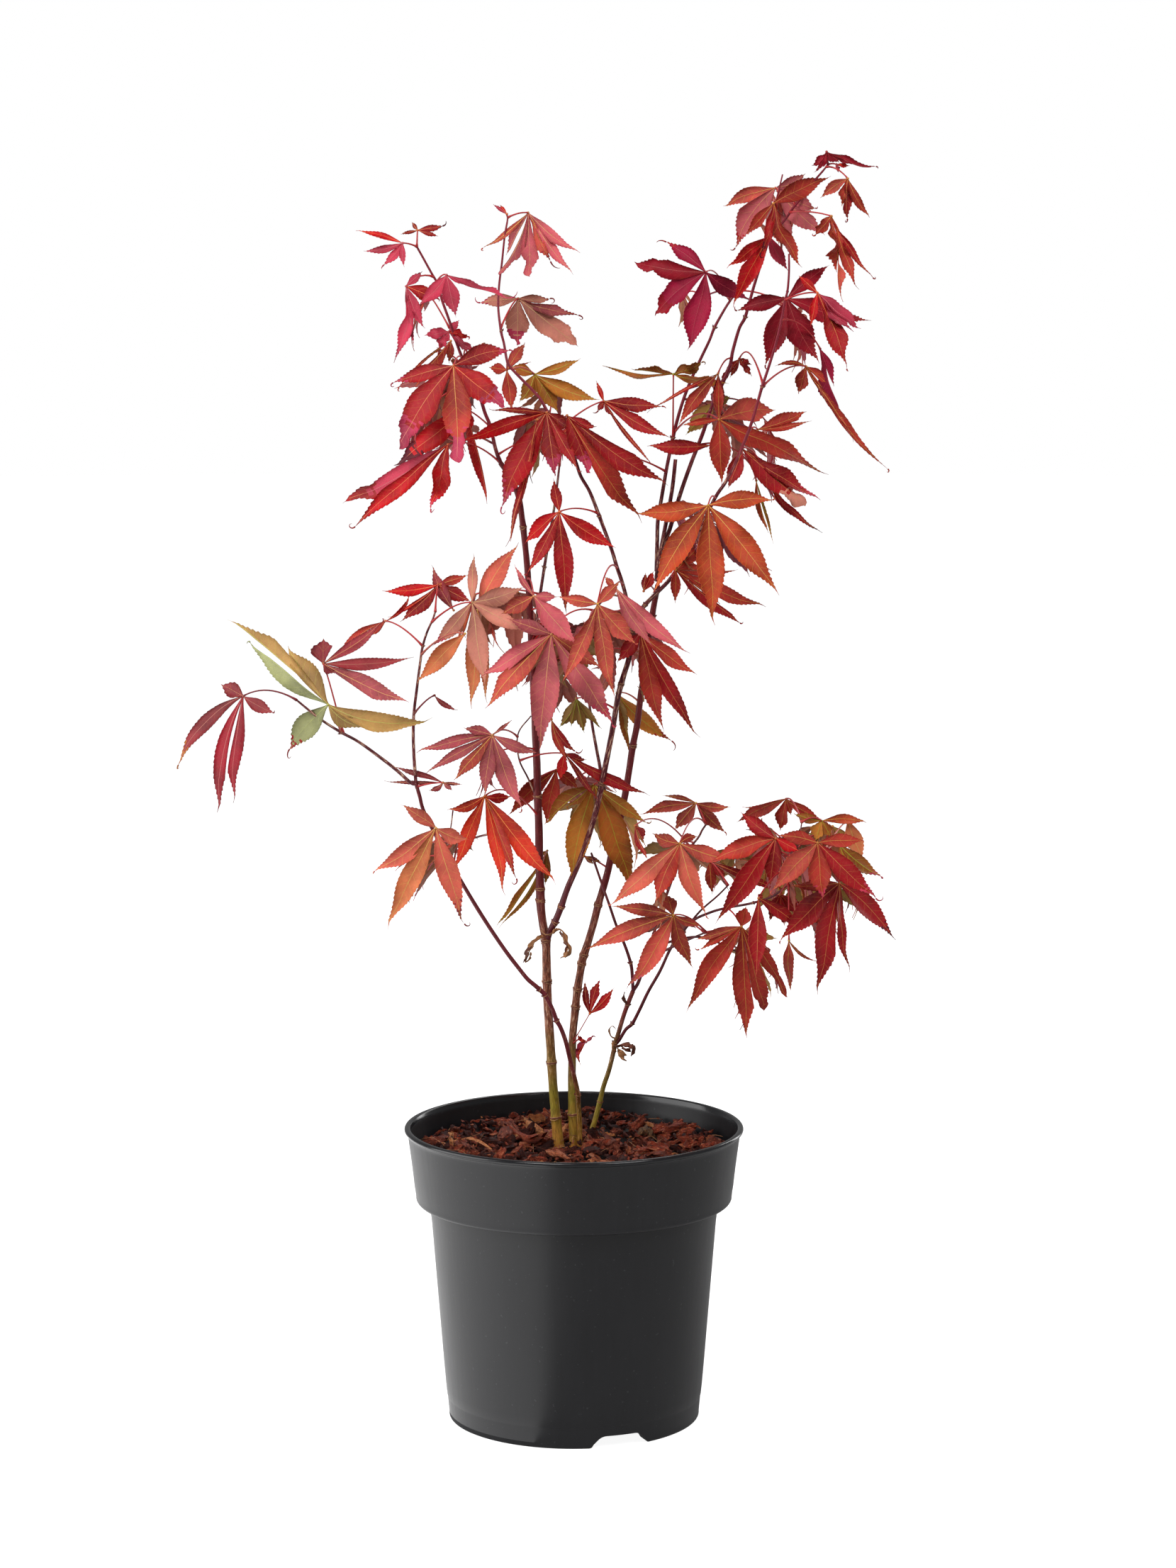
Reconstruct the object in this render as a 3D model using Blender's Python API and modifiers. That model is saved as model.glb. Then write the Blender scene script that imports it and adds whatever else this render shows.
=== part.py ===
"""Potted Japanese maple: a three-stemmed young maple in a round nursery pot.

Metres, +Z up. The origin is the centre of the pot's foot ring, on the surface
that it stands on. +Y points to the back of the plant, +X to its right.
Every named object is one closed solid: the pot, the substrate, each stem and
bough, and each mass of foliage.
"""

import math
import random

import bmesh
import bpy
from mathutils import Vector

MM = 0.001
GAP = 0.3 * MM            # clearance between touching solids

# ---------------------------------------------------------------- pot, in mm
POT_HEIGHT = 166.0
POT_LIP_R = 95.0          # over the rolled lip
POT_RIM_IN_R = 91.5       # inside the lip
POT_FOOT_R = 69.8
POT_SHOULDER_Z = 123.5    # where the wall steps out to the collar
POT_WALL_SHOULDER_R = 80.9
POT_COLLAR_R = 87.0       # lower edge of the collar
POT_WALL = 1.8
POT_FLOOR_TOP = 10.6
FOOT_RING_IN_R = 61.0
FOOT_RECESS = 3.4         # ring-shaped hollow between the foot ring and the pad
FOOT_PAD_R = 16.0         # flat pad at the centre, level with the foot ring
POT_SIDES = 48
NOTCH_HEIGHT = 7.0
NOTCH_FROM_TO_DEG = (8.5, 34.7)     # measured to the right of the front
NOTCH_COUNT = 3

# ------------------------------------------------------------ substrate, in mm
SOIL_Z = 149.0
GROUND = SOIL_Z + 0.3     # the stems' flat cut

# ---------------------------------------------------------------- limbs, in mm
# knots (x, y, z), then the radius at the foot and at the tip. A limb with a
# parent starts on the parent's centreline and is cut to the parent's surface.
LIMBS = {
    "stem_left": dict(
        knots=((-8.5, 19.5, 140), (-13, 16.5, 205), (-15.5, 13.5, 261), (-19.5, 17, 316.5),
               (-21, 18, 372.5), (-23, 16, 428), (-26, 12, 483.5), (-40.5, 5, 536.5)),
        r=(2.8, 1.1), flare=1.28),
    "stem_middle": dict(
        knots=((0, 18.5, 140), (-1, 20.5, 195.5), (2.5, 22.5, 241.5), (13.5, 24, 286.5), (25, 26, 331),
               (33, 25.5, 376.5), (40, 24, 422), (47, 22, 468)),
        r=(2.05, 1.35), flare=1.22),
    "stem_right": dict(
        knots=((4, 30.5, 140), (14.5, 29, 172.5), (20.5, 27, 194.5), (26, 24.5, 216.5),
               (33.5, 22, 238.5)),
        r=(1.45, 1.15), flare=1.2),
    "bough_left": dict(
        knots=((4, 18, 140), (2, 5, 183.5), (-5, -5.5, 216), (-19, -14.5, 246), (-40, -23, 272.5),
               (-57.5, -31, 302), (-73.5, -37, 332), (-85.5, -43, 364.5)),
        r=(1.3, 1), flare=1.15),
    "bough_centre": dict(
        parent="stem_left",
        knots=((-15.5, 13, 267.5), (-4.5, 5, 296.5), (7, -0.5, 326), (15, -4, 357), (21, -5.5, 389),
               (27.5, -9, 420), (33, -12, 451.5)),
        r=(1.75, 1.35)),
    "shoot_top_left": dict(
        parent="stem_left",
        knots=((-40.5, 5, 536.5), (-47, 0.5, 560.5), (-56, -3, 584), (-65.5, -6.5, 607.5),
               (-73, -11, 631.5), (-85, -14, 654)),
        r=(1.05, 0.6)),
    "shoot_centre": dict(
        parent="bough_centre",
        knots=((32.5, -12, 449), (21.5, -16, 488), (6.5, -19.5, 525.5), (-12, -19.5, 561),
               (-36, -12, 592.5), (-40.5, -3, 631.5), (-36.5, 2, 671.5)),
        r=(1.1, 0.6)),
    "shoot_back_right": dict(
        parent="stem_middle",
        knots=((46, 23, 475.5), (47.5, 27, 509), (53.5, 33.5, 542), (62.5, 37.5, 574.5),
               (76.5, 41.5, 605.5), (92.5, 47, 634.5)),
        r=(1.15, 0.65)),
    "stub_right": dict(
        parent="stem_middle",
        knots=((46, 22, 472), (49.5, 17.5, 493.5), (53.5, 17, 515.5), (56.5, 18, 537.5)),
        r=(1.2, 1.05)),
    "shoot_tall_right": dict(
        parent="stem_middle",
        knots=((46, 22, 470), (59, 18.5, 518), (76, 18, 565), (92.5, 18, 612.5), (108, 15, 659.5),
               (139, 11, 698.5)),
        r=(1.25, 0.6)),
    "shoot_front_right": dict(
        parent="bough_centre",
        knots=((31, -11, 449.5), (55, -17.5, 477.5), (72.5, -24, 509.5), (89.5, -30.5, 542),
               (101, -35, 577), (111.5, -38, 613), (115.5, -38, 649.5)),
        r=(1.15, 0.6)),
    "bough_back": dict(
        parent="stem_middle",
        knots=((23.5, 26, 326), (18, 41, 346.5), (14, 59, 365.5), (10, 77.5, 383.5)),
        r=(1.15, 0.7)),
    "shoot_back": dict(
        parent="stem_left",
        knots=((-23.5, 16, 425), (-20.5, 30.5, 452.5), (-16.5, 47.5, 478.5), (-11.5, 60.5, 506.5)),
        r=(1, 0.6)),
    "bough_left_low": dict(
        parent="bough_left",
        knots=((-85.5, -43, 364.5), (-103, -45.5, 378), (-121.5, -48.5, 391), (-149, -52, 411)),
        r=(1, 0.6)),
    "bough_left_inner": dict(
        parent="bough_left",
        knots=((-85.5, -43, 363.5), (-87, -38.5, 387), (-86, -34, 411), (-83, -29.5, 434.5),
               (-75.5, -24, 456.5)),
        r=(0.95, 0.6)),
    "bough_right_inner": dict(
        parent="stem_right",
        knots=((33.5, 22, 238.5), (31, 16.5, 259), (23.5, 11.5, 279), (16.5, 7.5, 299),
               (9.5, 5, 319.5)),
        r=(0.95, 0.6)),
    "bough_right_back": dict(
        parent="stem_right",
        knots=((33.5, 22, 238.5), (43.5, 31.5, 265), (53, 41.5, 292), (75, 55, 328.5)),
        r=(1, 0.6)),
    "bough_right_low": dict(
        parent="stem_right",
        knots=((23.5, 26, 207), (35.5, 17, 226), (45, 8, 246.5), (54, -2, 267), (68, -10.5, 285),
               (88, -21.5, 293.5), (107.5, -34, 300.5), (122.5, -45, 316.5)),
        r=(1.1, 0.6)),
    "bough_right_front": dict(
        parent="bough_right_low",
        knots=((47.5, 1, 263.5), (60.5, -11, 271.5), (73, -24, 279.5)),
        r=(0.75, 0.6)),
}
LIMB_STEP = 30.0          # spacing of a limb's rings
FLARE_HEIGHT = 9.0        # root flare above the ground

# ------------------------------------------------------- foliage masses, in mm
# at: centre; size: half width, depth, height; fingers: bearing in the X-Z
# plane and lift towards +Y, both in degrees, and reach from the centre.
MASSES = {
    "foliage_top_left": dict(
        at=(-80, -8, 640), size=(33, 38, 30), seed=3, fingers=(
            (149, 0, 44), (-109, 8, 53), (66, -10, 28), (-15, -16, 49), (20, 60, 46), (-150, -50, 40))),
    "foliage_peak": dict(
        at=(-25, 10, 641), size=(26, 34, 30), seed=5, fingers=(
            (153, 0, 29), (117, 20, 41), (21, -10, 37), (-58, -20, 47), (-99, 10, 39), (90, -50, 44))),
    "foliage_upper_left": dict(
        at=(-74, -2, 554), size=(44, 46, 40), seed=8, fingers=(
            (-144, 0, 68), (-132, 25, 72), (98, 10, 54), (50, -20, 54), (-57, 15, 50), (180, 60, 62))),
    "foliage_upper_middle": dict(
        at=(-9, -14, 550), size=(44, 42, 44), seed=13, fingers=(
            (-177, 0, 51), (107, 10, 54), (71, -15, 48), (1, 0, 63), (-22, -20, 67), (-60, 5, 67), (-110, -25, 66))),
    "foliage_left_shoulder": dict(
        at=(-67, -6, 430), size=(38, 46, 46), seed=21, fingers=(
            (136, 0, 55), (104, 15, 54), (44, 25, 56), (-120, 5, 76), (-86, -15, 68), (174, -10, 57), (150, 60, 62))),
    "foliage_centre": dict(
        at=(-3, -54, 445), size=(42, 40, 48), seed=34, fingers=(
            (148, 0, 44), (114, -10, 54), (-8, 0, 66), (-16, -20, 72), (-104, 0, 64), (-139, 10, 59), (-60, -50, 66))),
    "foliage_heart": dict(
        at=(17, 4, 367), size=(42, 34, 48), seed=55, fingers=(
            (-156, 0, 58), (-106, -10, 66), (-75, 5, 71), (23, 0, 44), (20, 20, 58), (-140, 20, 44))),
    "foliage_back_middle": dict(
        at=(4, 95, 426), size=(44, 42, 50), seed=73, fingers=(
            (100, 20, 62), (-80, 10, 66), (170, 30, 56), (10, 30, 56), (-30, 60, 58), (140, 60, 56))),
    "foliage_back_upper": dict(
        at=(-2, 82, 562), size=(36, 36, 40), seed=79, fingers=(
            (95, 10, 50), (-85, 20, 54), (175, 30, 44), (15, 30, 50), (-40, 60, 52))),
    "foliage_left_outer": dict(
        at=(-146, -46, 404), size=(46, 42, 38), seed=89, fingers=(
            (-156, 0, 76), (164, 15, 47), (131, 0, 62), (47, 10, 62), (-4, -10, 60), (-126, 5, 67), (-90, -60, 60))),
    "foliage_left_low": dict(
        at=(-61, -44, 334), size=(36, 38, 40), seed=144, fingers=(
            (-154, 0, 55), (-127, 10, 69), (-89, -15, 53), (-73, 5, 58), (-32, 0, 56), (67, 0, 62), (122, -10, 50), (-120, -60, 60))),
    "foliage_top_right": dict(
        at=(127, 10, 672), size=(33, 38, 27), seed=233, fingers=(
            (172, 0, 43), (78, -8, 34), (32, 0, 50), (0, 15, 38), (-63, 5, 52), (-139, -15, 36), (90, 70, 46), (-30, -60, 50))),
    "foliage_right_upper": dict(
        at=(111, -14, 600), size=(46, 48, 38), seed=377, fingers=(
            (158, 10, 82), (145, 0, 72), (-161, -5, 46), (3, -5, 60), (-35, 10, 84), (-60, -10, 60), (-20, -60, 64))),
    "foliage_right_middle": dict(
        at=(82, 16, 545), size=(40, 44, 38), seed=610, fingers=(
            (148, 0, 78), (-175, 10, 45), (18, 0, 49), (-18, 10, 62), (-38, 0, 70), (-91, -10, 42), (60, 60, 66))),
    "foliage_right_big": dict(
        at=(76, -44, 491), size=(34, 38, 32), seed=987, fingers=(
            (155, 0, 44), (36, 0, 43), (-35, -15, 46), (-85, 0, 44), (-141, 5, 41), (-60, -60, 58))),
    "foliage_right_low": dict(
        at=(101, 26, 333), size=(46, 46, 28), seed=1597, fingers=(
            (168, 0, 66), (134, 10, 28), (4, 0, 62), (-20, 10, 76), (-160, 5, 60), (-60, 60, 62))),
    "foliage_skirt": dict(
        at=(88, -58, 286), size=(56, 46, 42), seed=2584, fingers=(
            (-172, 0, 82), (-150, 8, 70), (-120, 0, 56), (-84, -12, 64), (-52, 0, 62), (-24, 5, 88), (4, -5, 86),
            (70, 0, 46), (160, -10, 62), (-70, -60, 66))),
    "foliage_sprout": dict(
        at=(16, 2, 237), size=(9, 9, 8), seed=4181, fingers=(
            (-135, 0, 14), (30, 0, 12), (-60, 20, 12))),
}
FINGER_SPREAD = 0.42      # radians: how wide a finger is at its root
UNEVEN = 0.10             # seeded unevenness of a mass
LIMB_CLEARANCE = 0.5     # room cut in a mass round a limb, in mm

COLOURS = {               # base colour, roughness
    "pot": ((0.052, 0.053, 0.058), 0.42),
    "substrate": ((0.085, 0.030, 0.019), 0.9),
    "bark": ((0.115, 0.048, 0.036), 0.6),
    "young_bark": ((0.095, 0.014, 0.022), 0.45),
    "leaf_brick": ((0.33, 0.038, 0.024), 0.6),
    "leaf_crimson": ((0.22, 0.008, 0.020), 0.6),
    "leaf_rose": ((0.34, 0.085, 0.085), 0.6),
}
MATERIAL_OF = {
    "stem": "bark", "bough": "young_bark", "shoot": "young_bark", "stub": "young_bark",
}
MASS_TINT = {
    "foliage_top_left": "leaf_crimson", "foliage_peak": "leaf_brick",
    "foliage_upper_left": "leaf_rose", "foliage_left_shoulder": "leaf_crimson",
    "foliage_centre": "leaf_rose", "foliage_right_big": "leaf_rose",
    "foliage_right_middle": "leaf_crimson", "foliage_left_outer": "leaf_rose",
}


# ------------------------------------------------------------------ utilities
def clear_scene():
    for obj in list(bpy.data.objects):
        bpy.data.objects.remove(obj, do_unlink=True)
    for name in ("Potted Japanese maple", "Cutters"):
        old = bpy.data.collections.get(name)
        if old:
            bpy.data.collections.remove(old)


def new_collection(name):
    collection = bpy.data.collections.new(name)
    bpy.context.scene.collection.children.link(collection)
    return collection


def principled(name):
    (r, g, b), rough = COLOURS[name]
    mat = bpy.data.materials.get(name) or bpy.data.materials.new(name)
    mat.use_nodes = True
    shader = mat.node_tree.nodes["Principled BSDF"]
    shader.inputs["Base Color"].default_value = (r, g, b, 1.0)
    shader.inputs["Roughness"].default_value = rough
    shader.inputs["Metallic"].default_value = 0.0
    mat.diffuse_color = (r, g, b, 1.0)
    return mat


def own_material(obj, name):
    """Each sub-part has its own copy, named after it."""
    base = principled(name)
    mat = base.copy()
    mat.name = obj.name
    obj.data.materials.clear()
    obj.data.materials.append(mat)


def mesh_object(name, mesh, collection):
    obj = bpy.data.objects.new(name, mesh)
    collection.objects.link(obj)
    return obj


def make_cutter(obj):
    obj.hide_render = True
    obj.display_type = "WIRE"
    return obj


def smooth(obj, angle=35.0):
    obj.data.shade_smooth()
    obj.data.set_sharp_from_angle(angle=math.radians(angle))


def evaluated_mesh(obj, name):
    graph = bpy.context.evaluated_depsgraph_get()
    return bpy.data.meshes.new_from_object(obj.evaluated_get(graph), depsgraph=graph)


def turned(name, profile, sides, collection):
    """A solid of revolution from a profile (r, z) in mm."""
    mesh = bpy.data.meshes.new(name)
    mesh.from_pydata([(r * MM, 0.0, z * MM) for r, z in profile],
                     [(i, i + 1) for i in range(len(profile) - 1)], [])
    obj = mesh_object(name, mesh, collection)
    screw = obj.modifiers.new("Turn", "SCREW")
    screw.angle = math.tau
    screw.steps = sides
    screw.render_steps = sides
    screw.use_merge_vertices = True
    screw.merge_threshold = 0.00005
    screw.use_smooth_shade = True
    return obj


def apply_modifiers(obj):
    mesh = evaluated_mesh(obj, obj.name)
    obj.modifiers.clear()
    obj.data = mesh
    return obj


def difference(obj, cutter):
    cut = obj.modifiers.new("Cut " + cutter.name, "BOOLEAN")
    cut.operation = "DIFFERENCE"
    cut.solver = "EXACT"
    cut.object = cutter
    return cut


def largest_body(obj):
    """Drops the slivers that a cut may leave beside the body."""
    bm = bmesh.new()
    bm.from_mesh(obj.data)
    bmesh.ops.remove_doubles(bm, verts=bm.verts, dist=0.00001)
    bmesh.ops.dissolve_degenerate(bm, edges=bm.edges, dist=0.00001)
    left = set(bm.verts)
    bodies = []
    while left:
        todo = [left.pop()]
        body = set(todo)
        while todo:
            vert = todo.pop()
            for edge in vert.link_edges:
                other = edge.other_vert(vert)
                if other in left:
                    left.remove(other)
                    body.add(other)
                    todo.append(other)
        bodies.append(body)
    bodies.sort(key=len)
    doomed = [v for body in bodies[:-1] for v in body]
    if doomed:
        bmesh.ops.delete(bm, geom=doomed, context="VERTS")
    bm.to_mesh(obj.data)
    bm.free()


# ---------------------------------------------------------------------- limbs
def catmull(knots, t):
    """Point on the smooth curve through the knots, t from 0 to 1."""
    n = len(knots) - 1
    s = min(max(t * n, 0.0), n - 1e-9)
    i = int(s)
    f = s - i
    p1, p2 = Vector(knots[i]), Vector(knots[i + 1])
    p0 = Vector(knots[i - 1]) if i > 0 else p1 * 2 - p2
    p3 = Vector(knots[i + 2]) if i + 2 <= n else p2 * 2 - p1
    return 0.5 * (2 * p1 + (p2 - p0) * f + (2 * p0 - 5 * p1 + 4 * p2 - p3) * f * f
                  + (3 * p1 - p0 - 3 * p2 + p3) * f ** 3)


def limb_centreline(spec):
    """Evenly spaced points along a limb, with the radius at each, in mm."""
    knots = spec["knots"]
    fine = [catmull(knots, i / 400) for i in range(401)]
    run = [0.0]
    for a, b in zip(fine, fine[1:]):
        run.append(run[-1] + (b - a).length)
    count = max(3, round(run[-1] / LIMB_STEP))
    points = []
    j = 0
    for k in range(count + 1):
        want = run[-1] * k / count
        while j < 399 and run[j + 1] < want:
            j += 1
        f = (want - run[j]) / max(run[j + 1] - run[j], 1e-9)
        points.append(fine[j].lerp(fine[j + 1], min(f, 1.0)))
    r0, r1 = spec["r"]
    out = []
    for k, p in enumerate(points):
        t = k / count
        radius = r0 + (r1 - r0) * t ** 0.85
        if "flare" in spec:
            radius *= 1 + (spec["flare"] - 1) * math.exp(-max(p.z - GROUND, 0.0) / FLARE_HEIGHT)
        out.append((p, radius))
    return out


def tube(name, points, extra, collection):
    """A tapering closed tube as a mesh, from (centre, radius) pairs in mm."""
    curve = bpy.data.curves.new(name, "CURVE")
    curve.dimensions = "3D"
    curve.bevel_depth = 1.0
    curve.bevel_resolution = 2
    curve.use_fill_caps = True
    spline = curve.splines.new("POLY")
    spline.points.add(len(points) - 1)
    for slot, (p, radius) in zip(spline.points, points):
        slot.co = (p.x * MM, p.y * MM, p.z * MM, 1.0)
        slot.radius = (radius + extra) * MM
    guide = mesh_object(name + "_curve", curve, collection)
    mesh = evaluated_mesh(guide, name)
    place = guide.matrix_world.copy()
    bpy.data.objects.remove(guide, do_unlink=True)
    bm = bmesh.new()
    bm.from_mesh(mesh)
    bmesh.ops.remove_doubles(bm, verts=bm.verts, dist=0.000005)
    bmesh.ops.recalc_face_normals(bm, faces=bm.faces)
    bm.to_mesh(mesh)
    bm.free()
    mesh.name = name
    obj = mesh_object(name, mesh, collection)
    obj.matrix_world = place
    return obj


def cut_flat(obj, z):
    """Cuts everything below z away and closes the cut."""
    bm = bmesh.new()
    bm.from_mesh(obj.data)
    whole = bm.verts[:] + bm.edges[:] + bm.faces[:]
    cut = bmesh.ops.bisect_plane(bm, geom=whole, plane_co=(0, 0, z), plane_no=(0, 0, 1),
                                 clear_inner=True, dist=1e-7)
    rim = [e for e in cut["geom_cut"] if isinstance(e, bmesh.types.BMEdge)]
    bmesh.ops.holes_fill(bm, edges=rim, sides=0)
    bmesh.ops.recalc_face_normals(bm, faces=bm.faces)
    bm.to_mesh(obj.data)
    bm.free()


def limbs_meet(name, other):
    """True where two limbs' tubes come closer than the room left round one."""
    ours, theirs = limb_centreline(LIMBS[name]), limb_centreline(LIMBS[other])
    for (a, ra), (b, _) in zip(ours, ours[1:]):
        for (c, rc), (d, _) in zip(theirs, theirs[1:]):
            for i in range(5):
                p = a.lerp(b, i / 4)
                along = d - c
                t = min(max((p - c).dot(along) / along.length_squared, 0.0), 1.0)
                if (p - c - along * t).length < ra + rc + 2 * LIMB_CLEARANCE:
                    return True
    return False


def build_limbs(parts, cutters):
    limbs, rooms = {}, {}
    for name, spec in LIMBS.items():
        points = limb_centreline(spec)
        limbs[name] = tube(name, points, 0.0, parts)
        rooms[name] = make_cutter(tube("room_" + name, points, LIMB_CLEARANCE, cutters))
        if "parent" not in spec:
            cut_flat(limbs[name], GROUND * MM)
    earlier = []
    for name, spec in LIMBS.items():
        obj = limbs[name]
        meets = [other for other in earlier if limbs_meet(name, other)]
        if meets:
            for other in meets:
                difference(obj, rooms[other])
            apply_modifiers(obj)
            largest_body(obj)
        earlier.append(name)
        own_material(obj, MATERIAL_OF[name.split("_")[0]])
        smooth(obj, 50)
    return limbs, rooms


# --------------------------------------------------------------------- masses
def direction(bearing, lift):
    b, l = math.radians(bearing), math.radians(lift)
    return Vector((math.cos(b) * math.cos(l), math.sin(l), math.sin(b) * math.cos(l)))


def mass_mesh(name, spec):
    """A closed uneven solid: an ellipsoid drawn out into fingers, kept on its
    own side of the planes half way to its neighbours."""
    rng = random.Random(spec["seed"])
    sx, sy, sz = spec["size"]
    waves = [(Vector([rng.uniform(-1, 1) for _ in range(3)]) * 3.1, rng.uniform(0, math.tau))
             for _ in range(5)]
    bm = bmesh.new()
    rings, around = (9, 12) if sx > 20 else (6, 8)
    bmesh.ops.create_uvsphere(bm, u_segments=around, v_segments=rings, radius=1.0)
    base = {}
    for vert in bm.verts:
        d = vert.co.normalized()
        r = 1 / math.sqrt((d.x / sx) ** 2 + (d.y / sy) ** 2 + (d.z / sz) ** 2)
        r *= 1 + UNEVEN * sum(math.sin(w.dot(d) + p) for w, p in waves) / 2
        base[vert] = (d, r)
    snapped = {}
    for bearing, lift, reach in spec["fingers"]:
        f = direction(bearing, lift)
        free = [v for v in base if v not in snapped]
        nearest = max(free, key=lambda v: base[v][0].dot(f))
        snapped[nearest] = (f, reach)
    radius = {}
    for vert, (d, r) in base.items():
        if vert in snapped:
            d, r = snapped[vert]
        else:
            for bearing, lift, reach in spec["fingers"]:
                f = direction(bearing, lift)
                angle = d.angle(f)
                r += max(reach - r, 0.0) * 0.8 * math.exp(-(angle / FINGER_SPREAD) ** 2)
        radius[vert] = (d, r)
    centre = Vector(spec["at"])
    size = (sx + sy + sz) / 3
    walls = []
    for other, theirs in MASSES.items():
        if other == name:
            continue
        away = Vector(theirs["at"]) - centre
        share = size / (size + sum(theirs["size"]) / 3)
        walls.append((away.normalized(), away.length * share - 0.25))
    for vert, (d, r) in radius.items():
        for normal, distance in walls:
            toward = d.dot(normal)
            if toward > 1e-6:
                r = min(r, distance / toward)
        vert.co = (centre + d * r) * MM
    mesh = bpy.data.meshes.new(name)
    bm.to_mesh(mesh)
    bm.free()
    return mesh


def build_masses(parts, rooms):
    for name, spec in MASSES.items():
        obj = mesh_object(name, mass_mesh(name, spec), parts)
        centre = Vector(spec["at"])
        for limb, room in rooms.items():
            near = min((p - centre).length for p, _ in limb_centreline(LIMBS[limb]))
            if near < 1.1 * max(reach for _, _, reach in spec["fingers"]):
                difference(obj, room)
        apply_modifiers(obj)
        largest_body(obj)
        own_material(obj, MASS_TINT.get(name, "leaf_brick"))
        smooth(obj, 60)


# ------------------------------------------------------------------------ pot
def wall_r(z):
    """Outer radius of the pot's wall below the collar."""
    if z <= 112:
        return POT_FOOT_R + 0.8 + (79.9 - POT_FOOT_R - 0.8) * (z - 3) / 109
    return 79.9 + (POT_WALL_SHOULDER_R - 79.9) * (z - 112) / (POT_SHOULDER_Z - 112)


def collar_r(z):
    return POT_COLLAR_R + 1.4 + (92.7 - POT_COLLAR_R - 1.4) * (z - 125.5) / (158 - 125.5)


def pot_profile():
    outer = [(POT_RIM_IN_R + 0.6, POT_HEIGHT - 0.3), (93.8, POT_HEIGHT), (POT_LIP_R, POT_HEIGHT - 1.7),
             (POT_LIP_R - 0.2, POT_HEIGHT - 3.4), (92.8, 160.0),
             (collar_r(126), 126.0), (POT_COLLAR_R, POT_SHOULDER_Z + 0.6),
             (POT_WALL_SHOULDER_R, POT_SHOULDER_Z), (wall_r(112), 112.0),
             (wall_r(3), 3.0), (POT_FOOT_R, 0.0)]
    under = [(FOOT_RING_IN_R, 0.0), (FOOT_RING_IN_R - 0.6, FOOT_RECESS),
             (FOOT_PAD_R + 0.6, FOOT_RECESS), (FOOT_PAD_R, 0.0), (0.0, 0.0)]
    inner = [(0.0, POT_FLOOR_TOP), (wall_r(POT_FLOOR_TOP) - POT_WALL - 3, POT_FLOOR_TOP),
             (wall_r(15) - POT_WALL, 15.0),
             (wall_r(112) - POT_WALL, 112.0), (wall_r(POT_SHOULDER_Z) - POT_WALL, POT_SHOULDER_Z + 1.2),
             (collar_r(127) - POT_WALL, 127.0), (POT_RIM_IN_R - 0.6, 158.0)]
    return inner + outer + under


def notch_cutter(index, cutters):
    """A block with a rounded top, radially through the foot."""
    a0, a1 = NOTCH_FROM_TO_DEG
    half_low = POT_FOOT_R * math.radians(a1 - a0) / 2
    half_top = half_low * 0.70
    corner = 2.6
    outline = [(-half_low - 1.2, -3.0), (half_low + 1.2, -3.0)]
    for side in (1, -1):
        turn = range(5) if side == 1 else range(4, -1, -1)
        for k in turn:
            a = math.radians(8 + k * 20.5)
            outline.append((side * (half_top - corner + corner * math.cos(a)),
                            NOTCH_HEIGHT - corner + corner * math.sin(a)))
    curve = bpy.data.curves.new("notch_%d" % index, "CURVE")
    curve.dimensions = "2D"
    curve.fill_mode = "BOTH"
    curve.extrude = 8 * MM
    spline = curve.splines.new("POLY")
    spline.points.add(len(outline) - 1)
    for slot, (x, z) in zip(spline.points, outline):
        slot.co = (x * MM, z * MM, 0, 1)
    spline.use_cyclic_u = True
    guide = mesh_object("notch_curve", curve, cutters)
    mesh = evaluated_mesh(guide, "notch")
    bpy.data.objects.remove(guide, do_unlink=True)
    bm = bmesh.new()
    bm.from_mesh(mesh)
    bmesh.ops.remove_doubles(bm, verts=bm.verts, dist=0.00001)
    bmesh.ops.recalc_face_normals(bm, faces=bm.faces)
    bm.to_mesh(mesh)
    bm.free()
    block = make_cutter(mesh_object("notch_%d" % index, mesh, cutters))
    bearing = math.radians(-90 + (a0 + a1) / 2 + index * 360 / NOTCH_COUNT)
    reach = (POT_FOOT_R - 2.5) * MM
    block.rotation_euler = (math.pi / 2, 0, bearing + math.pi / 2)
    block.location = (reach * math.cos(bearing), reach * math.sin(bearing), 0)
    return block


def build_pot(parts, cutters):
    pot = turned("pot", pot_profile(), POT_SIDES, parts)
    apply_modifiers(pot)
    for index in range(NOTCH_COUNT):
        difference(pot, notch_cutter(index, cutters))
    bpy.context.view_layer.update()
    apply_modifiers(pot)
    largest_body(pot)
    own_material(pot, "pot")
    smooth(pot, 30)
    gap = 0.35
    soil = turned("substrate", [
        (0.0, SOIL_Z), (POT_RIM_IN_R - 0.6 - (158 - SOIL_Z) * 0.127 - gap - 0.9, SOIL_Z),
        (collar_r(127) - POT_WALL - gap - 0.5, 127.8),
        (wall_r(POT_SHOULDER_Z) - POT_WALL - gap - 0.7, POT_SHOULDER_Z + 1.6),
        (wall_r(15) - POT_WALL - gap - 0.2, 15.2),
        (wall_r(POT_FLOOR_TOP) - POT_WALL - 3 - gap, POT_FLOOR_TOP + gap + 0.05),
        (0.0, POT_FLOOR_TOP + gap + 0.05)], POT_SIDES, parts)
    apply_modifiers(soil)
    own_material(soil, "substrate")
    smooth(soil, 30)
    return pot, soil


def main():
    clear_scene()
    parts = new_collection("Potted Japanese maple")
    cutters = new_collection("Cutters")
    build_pot(parts, cutters)
    _, rooms = build_limbs(parts, cutters)
    bpy.context.view_layer.update()
    build_masses(parts, rooms)


main()
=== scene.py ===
"""Looks of the potted Japanese maple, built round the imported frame."""

import math

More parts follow.
